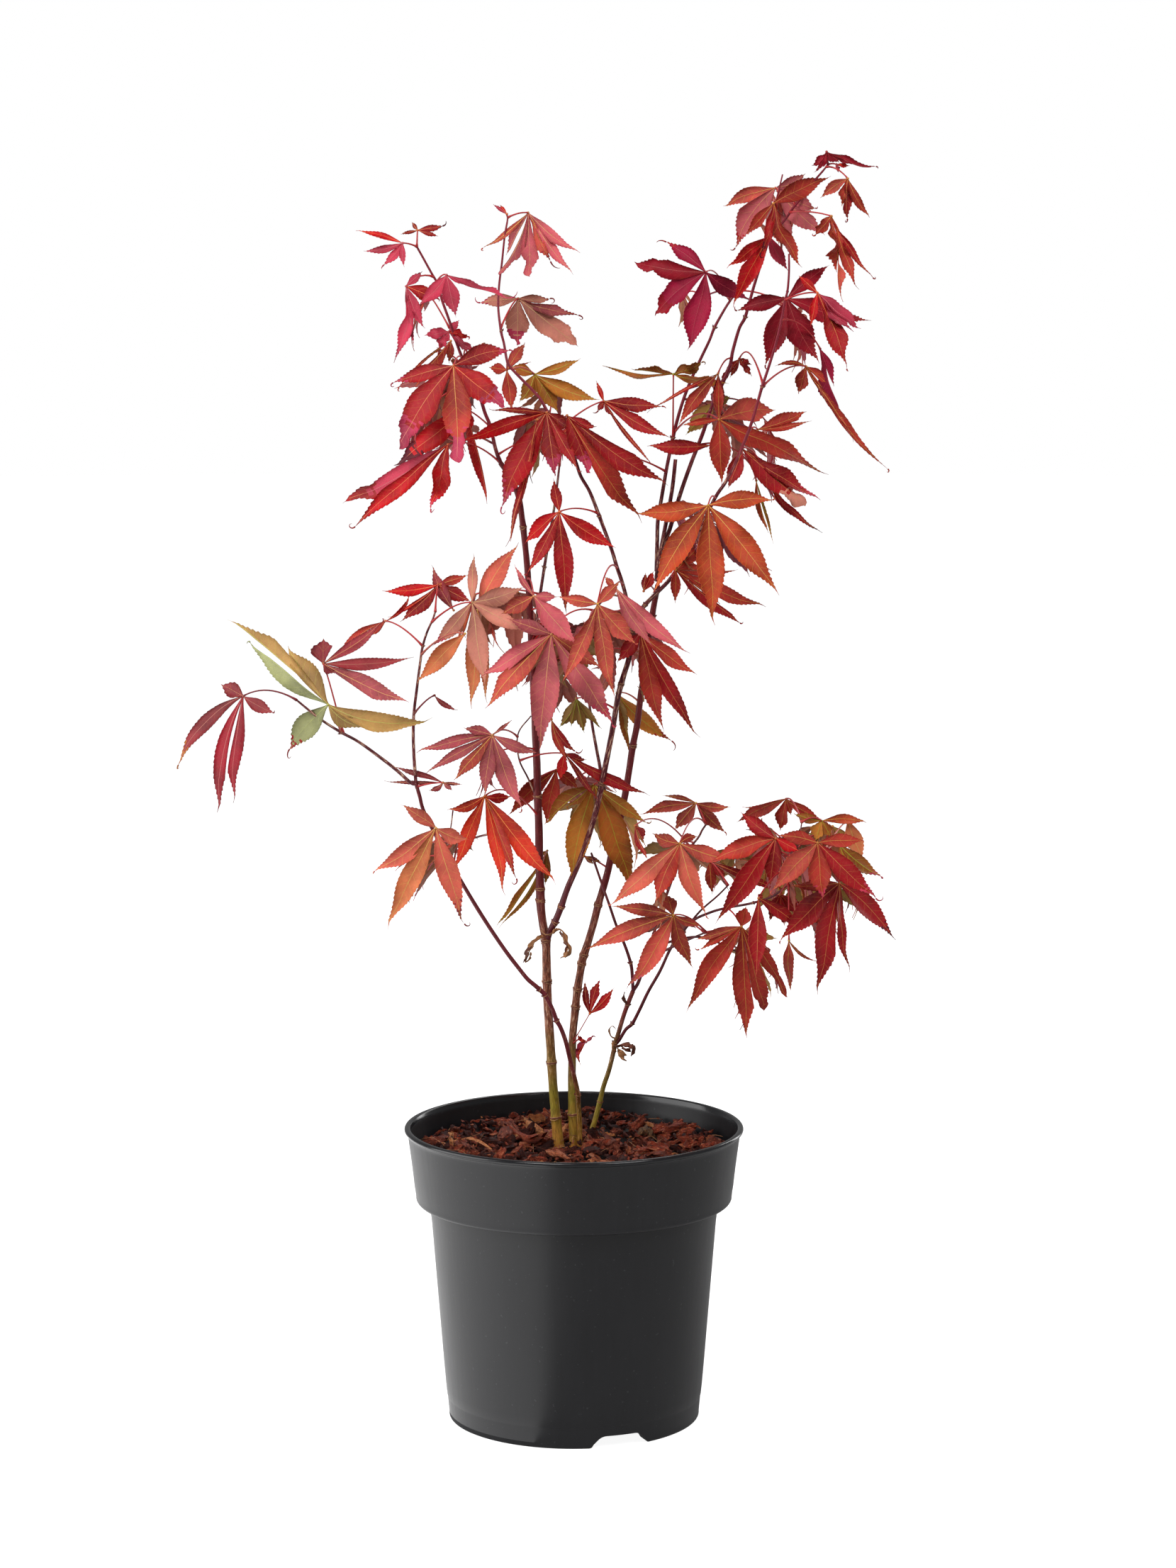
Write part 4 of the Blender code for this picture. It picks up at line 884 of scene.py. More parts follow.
            depth = depth + off * np.sin(spin) + crumple * 1.3 * np.sin(tt * 13 + phase[3]) * np.clip(tt / 0.3, 0, 1)
        reach = np.abs(off) / max(width / 2, 1)
        depth = depth + 0.95 * np.sin(along / 7.5 + phase[0]) * reach ** 1.4 * np.sign(off)
        depth = depth + 0.75 * np.sin(along / 4.3 + phase[1]) * reach ** 1.4
        depth = depth + 0.35 * np.sin(along / 1.9 + phase[2]) * reach ** 2 * np.sign(off)
        roll = rng.uniform(-0.9, 1.6) * np.clip((tt - 0.55) / 0.4, 0, 1)
        depth = depth + roll * reach ** 2 * 1.2
        curl = lobe.get("curl", 0.0)
        if ragged:
            depth = depth + 1.9 * np.sin(along / 2.6 + phase[3]) * np.clip((tt - 0.66) / 0.1, 0, 1) * np.sign(off) * reach
        if curl:
            k = np.clip((tt - 0.72) / 0.28, 0, 1)
            depth = depth + curl * k ** 2
        depth = depth + rank * y_step
        top = mapper(a, b, depth)
        du = np.gradient(top, axis=0)
        dv = np.gradient(top, axis=1)
        dv[:, 3] = top[:, 4] - top[:, 2]
        nor = unit(np.cross(du, dv))
        mid = np.array([mapper(np.array([0.0]), np.array([0.0]), np.array([d]))[0] for d in (0.0, 1.0)])
        toward = mid[0] - mid[1]                     # from depth to viewer
        flip = np.sum(nor * toward) < 0
        if flip:
            nor = -nor
        thick = (0.13 + 0.10 * (1 - t))[:, None, None] * MM
        lift = np.zeros((rows + 1, cols, 1))
        lift[:, 3] = (0.17 * (1 - 0.8 * t))[:, None]
        front = top + nor * thick + nor * lift * MM
        back = top - nor * thick - nor * lift * 0.8 * MM
        nv = (rows + 1) * cols
        pts = np.concatenate([front.reshape(-1, 3), back.reshape(-1, 3)])
        lobe_xy = np.stack([off, along, np.full_like(off, rng.uniform(0, 40))], axis=-1).reshape(-1, 3)
        lobe_xy = np.concatenate([lobe_xy, lobe_xy])
        quads, names, uvs = [], [], []
        code = lobe.get("tint") or tint
        dried = lobe.get("dried")
        near, far = ("leaf_", "under_") if facing > 0 else ("under_", "leaf_")
        if code == "tn":
            near, far = "leaf_", "under_"
        for i_row in range(rows):
            for j in range(cols - 1):
                use = code
                if dried:
                    limit = (0.79 if ragged else 0.90) - 0.13 * (j in (0, 5)) - 0.07 * (j in (1, 4)) + 0.05 * math.sin(i_row * 1.7 + j * 2.1 + phase[2])
                    if t[i_row] > limit:
                        use = dried
                p = i_row * cols + j
                q = (p, p + 1, p + cols + 1, p + cols)
                w = tuple(x + nv for x in q)
                u0, u1 = j / (cols - 1), (j + 1) / (cols - 1)
                if j in (2, 3):
                    u0, u1 = 0.46 + 0.04 * (j - 2), 0.50 + 0.04 * (j - 2)
                elif j == 1:
                    u0, u1 = 0.24, 0.46
                elif j == 4:
                    u0, u1 = 0.54, 0.76
                elif j == 0:
                    u0, u1 = 0.0, 0.24
                else:
                    u0, u1 = 0.76, 1.0
                v0, v1 = i_row / rows, (i_row + 1) / rows
                box = ((u0, v0), (u1, v0), (u1, v1), (u0, v1))
                name = "rib_" + use if j in (2, 3) and t[i_row] < 0.93 else near + use
                quads.append(q if flip else q[::-1])
                uvs.append([(x * 0.48, y) for x, y in (box if flip else box[::-1])])
                names.append(name)
                quads.append(w[::-1] if flip else w)
                uvs.append([(0.52 + x * 0.48, y) for x, y in (box[::-1] if flip else box)])
                names.append("rib_" + use if j in (2, 3) and t[i_row] < 0.85 and facing < 0 else far + use)
            for j, out in ((0, True), (cols - 1, False)):
                p = i_row * cols + j
                q = (p, p + cols, p + cols + nv, p + nv)
                good = out ^ flip
                quads.append(q if good else q[::-1])
                u0 = 0.0 if j == 0 else 0.48
                uvs.append([(u0, i_row / rows)] * 2 + [(u0, (i_row + 1) / rows)] * 2)
                names.append(near + use)
        for i_row, out in ((0, False), (rows, True)):
            for j in range(cols - 1):
                p = i_row * cols + j
                q = (p, p + 1, p + 1 + nv, p + nv)
                good = out ^ (not flip)
                quads.append(q[::-1] if good else q)
                uvs.append([(0.3, i_row / rows)] * 4)
                names.append(near + (dried if dried and i_row else code))
        batch.add(pts, quads, names, lobe=lobe_xy, uv=np.array(uvs))
        yield_pts.append(top)
        if rng.random() < (0.0 if coarse or ragged else 0.6 if dried else 0.12):
            curled_tail(batch, top, nor, rng, near + (dried or code), rng.uniform(3.5, 9.0) if dried else rng.uniform(2.0, 4.0))


def curled_tail(batch, top, nor, rng, name, reach):
    """The thread-like end of a lobe that has dried and curled."""
    tip = top[-2, 3]
    ahead = unit(top[-2, 3] - top[-6, 3])
    side = unit(np.cross(ahead, nor[-2, 3])) * (1 if rng.random() < 0.5 else -1)
    out = nor[-2, 3]
    steps = 13
    turn_by = rng.uniform(1.2, 4.4)
    points = [tip]
    for k in range(1, steps):
        f = k / (steps - 1)
        a = turn_by * f ** 1.6
        way = ahead * math.cos(a) + side * math.sin(a) + out * 0.35 * math.sin(a * 1.3)
        points.append(points[-1] + unit(way) * reach / steps * MM)
    f = np.linspace(0, 1, steps)
    sweep(batch, np.array(points), (0.42 * (1 - f) ** 0.8 + 0.07) * MM, 5, name)


yield_pts = []


def mark_cover(grids):
    """Keeps, for each cell of the view, how near the nearest leaf is (y, mm)."""
    for g in grids:
        for h in np.linspace(0, 1, 4):
            row = g[:-1] * (1 - h) + g[1:] * h
            for f in np.linspace(0, 1, 13):
                p = row[:, 0] * (1 - f) + row[:, 6] * f
                u, v = to_pixel(p)
                np.minimum.at(cover, ((v / COVER_STEP).astype(int), (u / COVER_STEP).astype(int)), p[:, 1] / MM)


def hidden(points, margin=1.5):
    """Share of the points that nearer leaves hide in the view."""
    u, v = to_pixel(points)
    c = cover[(v / COVER_STEP).astype(int), (u / COVER_STEP).astype(int)]
    return float(np.mean(points[..., 1] / MM > c + margin))


def petiole_path(foot, junction, sag, rng):
    """A stalk that leaves the limb outward and arches over to the leaf."""
    foot, junction = np.asarray(foot, float), np.asarray(junction, float)
    span = np.linalg.norm(junction - foot)
    out = junction - foot
    side = unit(np.array([out[0], out[1] * 0.8, 0.0]) + 1e-9)
    c1 = foot + out * 0.33 + np.array([0, 0, sag * span]) + side * 0.04 * span
    c2 = foot + out * 0.72 + np.array([0, 0, sag * span * 0.9])
    f = np.linspace(0, 1, max(8, int(span / 0.0022)))[:, None]
    return ((1 - f) ** 3 * foot + 3 * (1 - f) ** 2 * f * c1 + 3 * (1 - f) * f ** 2 * c2 + f ** 3 * junction)


ALL_UVY = {**LIMB_UVY, **TWIG_UVY}


def nearest_on_limbs(u, v):
    """World point on the limb or twig that shows nearest to the pixel."""
    best, where = 1e9, None
    for uvy, world in ALL_UVY.values():
        d = np.hypot(uvy[:, 0] - u, uvy[:, 1] - v)
        i = int(np.argmin(d))
        if d[i] < best:
            best, where = d[i], world[i]
    return best, where


leaf_batches = {g: Batch("leaves_" + n[len("foliage_"):]) for g, n in GROUPS.items()}
stalks = Batch("petioles")
COLOUR_OF_STALK = {"rd": "petiole_red", "or": "petiole_red", "og": "petiole_pink", "po": "petiole_pink",
                   "ot": "petiole_pink", "sa": "petiole_pink", "dc": "petiole_wine", "ma": "petiole_wine"}


def stalk(foot, junction, tint, rng, sag=None, thick=0.5):
    path = petiole_path(foot, junction, rng.uniform(0.05, 0.22) if sag is None else sag, rng)
    f = np.linspace(0, 1, len(path))
    r = thick * (1.0 - 0.25 * f + 0.7 * np.exp(-f * 14) + 0.5 * np.exp(-(1 - f) * 22))
    sweep(stalks, path, r * MM, 8, COLOUR_OF_STALK.get(tint, "petiole_red"))
    return path


def hub(p, tint, batch, rng):
    """The knot where a leaf's ribs meet its stalk."""
    path = p + np.linspace(-1, 1, 7)[:, None] * np.array([0.0, 0.55, 0.25]) * MM
    prof = np.array([0.15, 0.55, 0.72, 0.78, 0.72, 0.55, 0.15])
    sweep(batch, path, prof * MM, 8, "rib_" + tint)


NEIGHBOURS = {    # a named tint's nearest two, the same table for every leaf
    "br": ("dr", "sr"), "dr": ("br", "rd"), "dc": ("dr", "wc"), "wc": ("dc", "dr"), "cr": ("rp", "rd"), "rd": ("dr", "cr"),
    "rp": ("ds", "sr"), "ds": ("rp", "sr"), "sr": ("br", "sa"), "sa": ("sr", "ot"), "bo": ("ob", "og"), "og": ("bo", "po"),
    "po": ("po", "gn"), "ot": ("sa", "ob"), "ob": ("br", "bo"), "ma": ("mr", "dc"), "mr": ("ma", "ds"), "tn": ("ds", "sa"),
    "tb": ("br", "ob"), "or": ("rd", "br")}
SPRAYS = {    # the tints of each spray of leaves, dealt out like a hand of cards
    "TL": ("cr", "cr", "dr"), "PK": ("rd", "rp", "tn"), "UL": ("cr", "rd", "dr", "br"),
    "UM": ("br", "dr", "dr", "og"), "LS": ("tn", "dr", "ot", "mr"), "CE": ("rp", "sr", "rd", "ds"),
    "HE": ("og", "bo", "br", "dr"), "LO": ("po", "mr", "ma"), "LL": ("sa", "or", "ds"),
    "TR": ("br", "cr", "ds", "dc"), "RU": ("br", "dc", "wc", "rd"), "RM": ("dr", "br", "dr", "bo"),
    "RB": ("dr", "br", "ob"), "RL": ("sr", "br", "bo", "sa"), "SK": ("br", "dr", "dr", "sr"), "SP": ("cr", "rd"),
}
rng = np.random.default_rng(20240611)
deal = np.random.default_rng(153)
hands = {}
vary = np.random.default_rng(5150)
for line in LEAVES.strip().splitlines():
    head, junction, foot, lobes_text = [x.strip() for x in line.split("|")]
    leaf_name, group, depth, *side_out = head.split()
    if not hands.get(group):
        hands[group] = list(deal.permutation(SPRAYS[group]))
    tint = str(hands[group].pop())
    ju, jv = (float(x) for x in junction.split(","))
    y0 = float(depth)
    lrng = np.random.default_rng(sum(ord(c) * (i + 3) for i, c in enumerate(leaf_name)) + 11)
    lobes = []
    for text in lobes_text.split():
        bits = text.split(",")
        u, v = float(bits[0]), float(bits[1])
        w = float(bits[2])
        bow = float(bits[3]) if len(bits) > 3 and bits[3] else 0.0
        marks = bits[4] if len(bits) > 4 else ""
        crumple = 0.55 * marks.count("~")            # "~" crumpled, "=" a torn broad end
        ragged = 0.8 * marks.count("=")
        dried = marks.strip("~=!") or None
        own = tint if vary.random() < 0.7 else NEIGHBOURS.get(tint, (tint, tint))[int(vary.integers(2))]
        lobes.append(dict(tip=((u - ju) * PX, (v - jv) * PX), width=w * PX * 0.94, bow=-bow * PX, tint=own,
                          dried=dried, crumple=crumple, ragged=ragged, curl=(lrng.uniform(-7, 7) if dried else lrng.uniform(-2.5, 2.5)),
                          bend=lrng.uniform(0.6, 1.5)))

    def mapper(a, b, c, ju=ju, jv=jv, y0=y0):
        return at_depth(ju + np.asarray(a) / PX, jv + np.asarray(b) / PX, y0 + np.asarray(c))

    centre = at_depth(ju, jv, y0)
    side = float(np.clip(centre[0] / 0.20, -0.75, 0.75))
    if y0 < 16:
        facing = 1
        plane = (side + lrng.uniform(-0.4, 0.4), -0.42 + lrng.uniform(-0.3, 0.25), 0.16 + lrng.uniform(-0.1, 0.2), 0.40)
    else:
        facing = -1 if side_out else 1
        plane = (-side + lrng.uniform(-0.3, 0.3), 0.35 + lrng.uniform(-0.2, 0.3), -0.16, 0.38)
    yield_pts = []
    make_leaf(leaf_batches[group], mapper, lobes, lrng, plane, tint, facing)
    mark_cover(yield_pts)
    hub(centre, tint, leaf_batches[group], lrng)
    if foot != "-":
        fu, fv = (float(x) for x in foot.split(","))
        _, start = nearest_on_limbs(fu, fv)
        stalk(start, centre, tint, lrng, *((0.0, 0.3) if leaf_name == "S0" else ()))

# ---------------------------------------------------------- growth at the back
# Leaves that grow on from the limbs, away from the viewer, one leaf to a stalk, at the end of a twig when the limb is
# far:
# they fill the crown's depth without closing the gaps of the view.
SPREAD = (0.0, 33.0, 68.0, 108.0)        # degrees of a leaf's lobes from its middle one
LOBE_LENGTH = (1.0, 0.93, 0.72, 0.42)


def leaf_frame(out, rng):
    """Right, down and away directions of a hanging leaf that faces out."""
    out = unit(np.array([out[0], out[1], 0.0]) + 1e-9)
    down = unit(out * rng.uniform(0.15, 0.9) + np.array([0, 0, -1.0]) + rng.normal(0, 0.22, 3))
    face = out * rng.uniform(0.5, 1.0) + np.array([0, 0, rng.uniform(0.25, 0.9)]) + rng.normal(0, 0.25, 3)
    face = unit(face - down * (face @ down))
    return np.cross(down, face), down, -face


def fill_lobes(length, rng, tint, alt):
    lobes = []
    lobed = 7 if rng.random() < 0.6 else 5
    for k in range(-(lobed // 2), lobed // 2 + 1):
        a = math.radians(SPREAD[abs(k)] + rng.uniform(-5, 5)) * (1 if k >= 0 else -1)
        size = length * LOBE_LENGTH[abs(k)] * rng.uniform(0.88, 1.1)
        lobes.append(dict(tip=(math.sin(a) * size, math.cos(a) * size), width=size * rng.uniform(0.235, 0.30),
                          bow=rng.uniform(-0.06, 0.06) * size, tint=tint if rng.random() < 0.75 else alt,
                          dried="pk" if rng.random() < 0.10 else ("dk" if rng.random() < 0.08 else None),
                          curl=rng.uniform(-3, 5), bend=rng.uniform(0.7, 1.4)))
    return lobes


def leaf_points(foot, frame_, lobes):
    right, down, _ = frame_
    out = []
    for l in lobes:
        e = np.array(l["tip"])
        n = np.array([-e[1], e[0]]) / np.linalg.norm(e)
        for f in (0.25, 0.45, 0.68, 0.9, 1.1):
            w = l["width"] * 0.5 * (1 - abs(f - 0.5) * 1.6)
            for sgn in (-1, 0, 1):
                p = e * f + n * w * sgn
                out.append(foot + (right * p[0] + down * p[1]) * MM)
    return np.array(out)


TINTS_BY_GROUP = {
    "TL": ("dr", "cr"), "PK": ("br", "tn"), "UL": ("dr", "br"), "UM": ("br", "bo"), "LS": ("ob", "dr"),
    "CE": ("br", "rp"), "HE": ("bo", "ob"), "LO": ("mr", "bo"), "LL": ("ob", "sr"), "TR": ("br", "ds"),
    "RU": ("br", "dc"), "RM": ("dc", "br"), "RB": ("dr", "ob"), "RL": ("ob", "bo"), "SK": ("dr", "br"),
    "BM": ("br", "dr"), "BU": ("dr", "ob"), "SP": ("cr", "br"),
}
frng = np.random.default_rng(8112)
NODE_BOXES = {g: (np.array(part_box(n)[0]), np.array(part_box(n)[1])) for g, n in GROUPS.items()}
CENTRES = {g: (lo + hi) / 2 for g, (lo, hi) in NODE_BOXES.items()}
LOW = np.array(CAD_BOX[0]) - 0.004
HIGH = np.array(CAD_BOX[1]) + 0.004
AXIS = np.array([0.008, 0.015, 0.0])
MAX_PETIOLE = 0.042


def nearest_group(p):
    best, name = 1e9, None
    for g, (lo, hi) in NODE_BOXES.items():
        if g == "SP":
            continue
        d = np.linalg.norm((p - CENTRES[g]) / (hi - lo) * 2)
        if d < best:
            best, name = d, g
    return name


wood, wood_way = [], []                 # where leaves and twigs can grow from
for limb_name in LIMBS:
    _, world = ALL_UVY[limb_name]
    for k in range(3, len(world) - 1, 2):
        if world[k][2] > 0.245:
            wood.append(world[k])
            wood_way.append(unit(world[k + 1] - world[k - 1]))
wood, wood_way = np.array(wood), np.array(wood_way)

twigs = Batch("twigs")
for twig_name, _, (r0, r1) in TWIGS:
    world = TWIG_UVY[twig_name][1]
    sweep(twigs, world, (r0 + (r1 - r0) * np.linspace(0, 1, len(world))) * MM, 10, "bark_young")

blocked = cover < 1e8
dense = blocked.astype(float)
for axis in (0, 1):                     # how closed the leaves are round each cell
    width = 6
    dense = sum(np.roll(dense, k, axis) for k in range(-width, width + 1)) / (2 * width + 1)
rows_in, cols_in = np.nonzero((dense > 0.62) & blocked)
placed, fill_count, twig_count = [], 0, 0
for attempt in range(9000):
    k = int(frng.integers(len(rows_in)))
    v, u = rows_in[k] * COVER_STEP + 1.5, cols_in[k] * COVER_STEP + 1.5
    front = cover[rows_in[k], cols_in[k]]
    deepest = 124.0
    if front > deepest - 12:
        continue
    y = front + 7 + (deepest - front - 7) * frng.random() ** 1.15
    centre = at_depth(u, v, y)
    if not np.all(centre > LOW + 0.006) or not np.all(centre < HIGH - 0.006):
        continue
    if placed and np.min(np.linalg.norm(np.array(placed) - centre, axis=1)) < 0.019:
        continue
    gaps = np.linalg.norm(wood - centre, axis=1)
    near = int(np.argmin(gaps + 0.02 * (wood[:, 2] > centre[2] + 0.012)))
    gap = gaps[near]
    if gap > 0.085 or gap < 0.012:
        continue
    out = unit((centre - AXIS) * [1, 1, 0] + 1e-9) * 0.8 + np.array([0, 0.5, 0])
    group = nearest_group(centre)
    main, alt = TINTS_BY_GROUP[group]
    if frng.random() < 0.25:
        main, alt = alt, main
    best = None
    size = frng.uniform(30, 56)
    for turn_ in range(7):
        fr = leaf_frame(out + frng.normal(0, 0.35, 3), frng)
        lobes = fill_lobes(size, frng, main, alt)
        pts = leaf_points(centre, fr, lobes)
        if not np.all(pts.min(axis=0) > LOW) or not np.all(pts.max(axis=0) < HIGH):
            continue
        share = min(hidden(pts), 0.03 + hidden(pts[13::15]))
        if best is None or share > best[0]:
            best = (share, fr, lobes)
        size *= 0.96
    if best is None or best[0] < 0.90:
        continue
    foot = wood[near]
    if gap > MAX_PETIOLE:               # a twig first, then the leaf on its end
        way = centre - foot
        end = foot + way * (1 - frng.uniform(0.016, 0.030) / gap)
        mid = (foot + end) / 2 + wood_way[near] * 0.10 * gap + frng.normal(0, 0.02, 3) * gap
        path = smooth_path([foot, mid, end], 0.002)
        if hidden(path[2:]) < 0.86:
            continue
        t = np.linspace(0, 1, len(path))
        sweep(twigs, path, (0.35 + 0.45 * min(gap / 0.08, 1) * (1 - 0.6 * t)) * MM, 8, "bark_young")
        steps = unit(np.gradient(path, axis=0))
        wood, wood_way = np.vstack([wood, path[4:]]), np.vstack([wood_way, steps[4:]])
        twig_count += 1
        foot = end
    elif hidden(np.linspace(foot, centre, 9)[1:]) < 0.8:
        continue
    right, down, away = best[1]

    def mapper(a, b, c, centre=centre, right=right, down=down, away=away):
        a, b, c = (np.asarray(x, float)[..., None] for x in (a, b, c))
        return centre + (right * a + down * b + away * c) * MM

    make_leaf(leaf_batches[group], mapper, best[2], frng,
              (frng.uniform(-0.1, 0.1), 0.0, frng.uniform(0.05, 0.3), 0.35), main, 1, coarse=True)
    hub(centre, main, leaf_batches[group], frng)
    stalk(foot, centre, main, frng)
    placed.append(centre)
    fill_count += 1
    if fill_count >= 130:
        break

# ------------------------------------------------------------ dead remnants
dead = Batch("dead_remnants")


def ribbon(pixels, width, thick, name, twist=3.0):
    """A shrivelled twisted strip through pixel points (u, v, y)."""
    uvy = smooth_path(np.array(pixels, float), 2.2)
    path = at_depth(uvy[:, 0], uvy[:, 1], uvy[:, 2])
    tangent, side, up = frames_along(path)
    t = np.linspace(0, 1, len(path))
    half = width / 2 * np.sin(np.pi * np.clip(t * 0.9 + 0.08, 0, 1)) ** 0.6 * (1 + 0.25 * np.sin(t * 17) + 0.10 * np.sin(t * 37 + 1))
    turn = twist * t + 0.4 * np.sin(9 * t) + 0.35 * np.sin(19 * t)
    ring = []
    for a, th in ((0, 0.4), (0.5, 0.35), (1, 0.02), (0.5, -0.35), (0, -0.4), (-0.5, -0.35), (-1, 0.02), (-0.5, 0.35)):
        off = a * half + 0.0
        lift = th * thick * 0.7 + 0.45 * np.abs(a) * half
        c, s_ = np.cos(turn), np.sin(turn)
        x, y = off * c - lift * s_, off * s_ + lift * c
        ring.append(path + (side * x[:, None] + up * y[:, None]) * MM)
    pts = np.stack(ring, axis=1).reshape(-1, 3)
    quads = grid_quads(len(path), 8, closed=True)
    n = len(path)
    uv = []
    for i in range(n - 1):
        for j in range(8):
            uv.append(((j / 8, i / n), ((j + 1) / 8, i / n), ((j + 1) / 8, (i + 1) / n), (j / 8, (i + 1) / n)))
    quads += [(0, 7, 6, 5), (0, 5, 4, 3), (0, 3, 2, 1)]
    m = (n - 1) * 8
    quads += [(m, m + 1, m + 2, m + 3), (m, m + 3, m + 4, m + 5), (m, m + 5, m + 6, m + 7)]
    uv += [((0.4, 0.4), (0.41, 0.4), (0.41, 0.41), (0.4, 0.41))] * 6
    dead.add(pts, quads, name, uv=np.array(uv))


ribbon([(768, 1320, 12), (758, 1325, 8), (750, 1334, 5), (746, 1345, 4), (741, 1358, 6)], 3.2, 0.6, "dead_leaf", 3)
ribbon([(750, 1333, 6), (744, 1342, 3), (743, 1352, 4), (738, 1358, 5)], 2.8, 0.5, "dead_dark", 2.4)
ribbon([(741, 1357, 6), (746, 1353, 4), (749, 1343, 3)], 2.0, 0.5, "dead_leaf", 3)
ribbon([(764, 1312, 10), (770, 1318, 7), (779, 1316, 6), (786, 1309, 7)], 2.4, 0.6, "dead_leaf", 4)
ribbon([(782, 1312, 8), (789, 1310, 5), (797, 1317, 3), (801, 1330, 2), (803, 1342, 2), (797, 1351, 4)], 3.4, 0.6, "dead_leaf", 3.2)
ribbon([(790, 1314, 5), (796, 1322, 2), (800, 1335, 1), (798, 1346, 2)], 2.9, 0.5, "dead_dark", 2.2)
ribbon([(801, 1338, 1), (797, 1348, 2), (790, 1352, 4)], 2.4, 0.5, "dead_leaf", 2)
ribbon([(868, 1475, 25), (874, 1474, 21), (884, 1471, 18), (892, 1478, 17), (890, 1490, 18)], 4.6, 0.7, "dead_dark", 4)
ribbon([(872, 1480, 22), (880, 1484, 17), (876, 1493, 17), (884, 1497, 18)], 5.2, 0.7, "dead_leaf", 3)
ribbon([(878, 1477, 20), (886, 1480, 15), (893, 1473, 16)], 4.4, 0.7, "dead_dark", 3)
ribbon([(869, 1484, 22), (863, 1478, 20), (866, 1469, 20)], 2.2, 0.5, "dead_leaf", 3)
ribbon([(870, 1466, 24), (862, 1462, 22), (859, 1453, 21), (864, 1447, 21), (869, 1452, 23)], 1.1, 0.4, "dead_leaf", 1)
ribbon([(884, 1416, 22), (879, 1408, 19), (881, 1399, 18)], 2.2, 0.6, "dead_dark", 1)
ribbon([(908, 990, 20), (905, 975, 18), (899, 968, 17)], 1.6, 0.5, "dead_leaf", 2)
place(dead.build(tall=1.0))

# ---------------------------------------------------------------------- pot
POT_SEGMENTS = 240


def pot_profile():
    """(r, z) in mm from the inside floor over the lip to the underside."""
    def arc(cx, cz, r, a0, a1, n):
        return [(cx + r * math.cos(math.radians(a0 + (a1 - a0) * i / n)),
                 cz + r * math.sin(math.radians(a0 + (a1 - a0) * i / n))) for i in range(n + 1)]
    inner = [(0.02, 10.6), (40, 10.6), (60, 10.6), (66, 11.2), (69.2, 15.0), (73.5, 60), (78.2, 112), (79.1, 124.5),
             (84.8, 126.6), (86.3, 128), (87.6, 137), (89.0, 147), (90.2, 154), (90.9, 158), (91.3, 161.5)]
    lip = arc(92.9, 164.5, 1.3, 150, 90, 4) + arc(93.7, 164.45, 1.35, 80, -70, 8) + [(93.35, 162.2), (93.0, 160.6)]
    outer = [(92.6, 157.5), (91.8, 151.5), (90.9, 144.5), (90.2, 138.5), (89.6, 133), (88.9, 128.5)]
    outer += arc(86.6, 125.9, 2.1, 5, -82, 7)
    outer += [(85.6, 123.75), (83.2, 123.6), (81.6, 123.3), (81.0, 122.6), (80.85, 120.5), (80.5, 117)]
    outer += [(79.9, 112), (78.3, 92), (76.7, 72), (75.1, 52), (73.5, 32), (72.3, 18), (71.75, 12.9), (71.45, 12.2),
              (71.35, 11.3), (71.2, 9), (70.8, 5), (70.6, 2.6)]
    outer += arc(69.2, 1.4, 1.4, 0, -90, 5)
    under = [(66, 0.0), (62.5, 0.0)] + arc(61.6, 0.7, 0.7, -90, -180, 3) + [(60.6, 2.4), (59.8, 3.4), (45, 3.4), (30, 3.4),
             (17.4, 3.4), (16.4, 2.4), (16.0, 0.3), (15.4, 0.0), (8, 0.0), (0.02, 0.0)]
    return inner + lip + outer + under


pot_pts = pot_profile()
pot_batch = Batch("pot_shell")
ang = np.linspace(0, 2 * math.pi, POT_SEGMENTS, endpoint=False)
ring = np.stack([np.cos(ang), np.sin(ang)], axis=-1)
grid = []
for r, z in pot_pts:
    wob = 1 + 0.0011 * np.sin(3 * ang + 0.7) * min(z / 166, 1) + 0.0005 * np.sin(7 * ang + 2 + z * 0.02)
    grid.append(np.concatenate([ring * (r * wob)[:, None], np.full((POT_SEGMENTS, 1), z)], axis=1))
grid = np.array(grid)
run = np.concatenate([[0], np.cumsum(np.hypot(*np.diff(np.array(pot_pts), axis=0).T))])
run = run / run[-1]
quads, uvs = [], []
for i in range(len(pot_pts) - 1):
    for j in range(POT_SEGMENTS):
        a, b = i * POT_SEGMENTS + j, i * POT_SEGMENTS + (j + 1) % POT_SEGMENTS
        quads.append((a, a + POT_SEGMENTS, b + POT_SEGMENTS, b))
        u0, u1 = j / POT_SEGMENTS, (j + 1) / POT_SEGMENTS
        uvs.append(((u0, run[i]), (u0, run[i + 1]), (u1, run[i + 1]), (u1, run[i])))


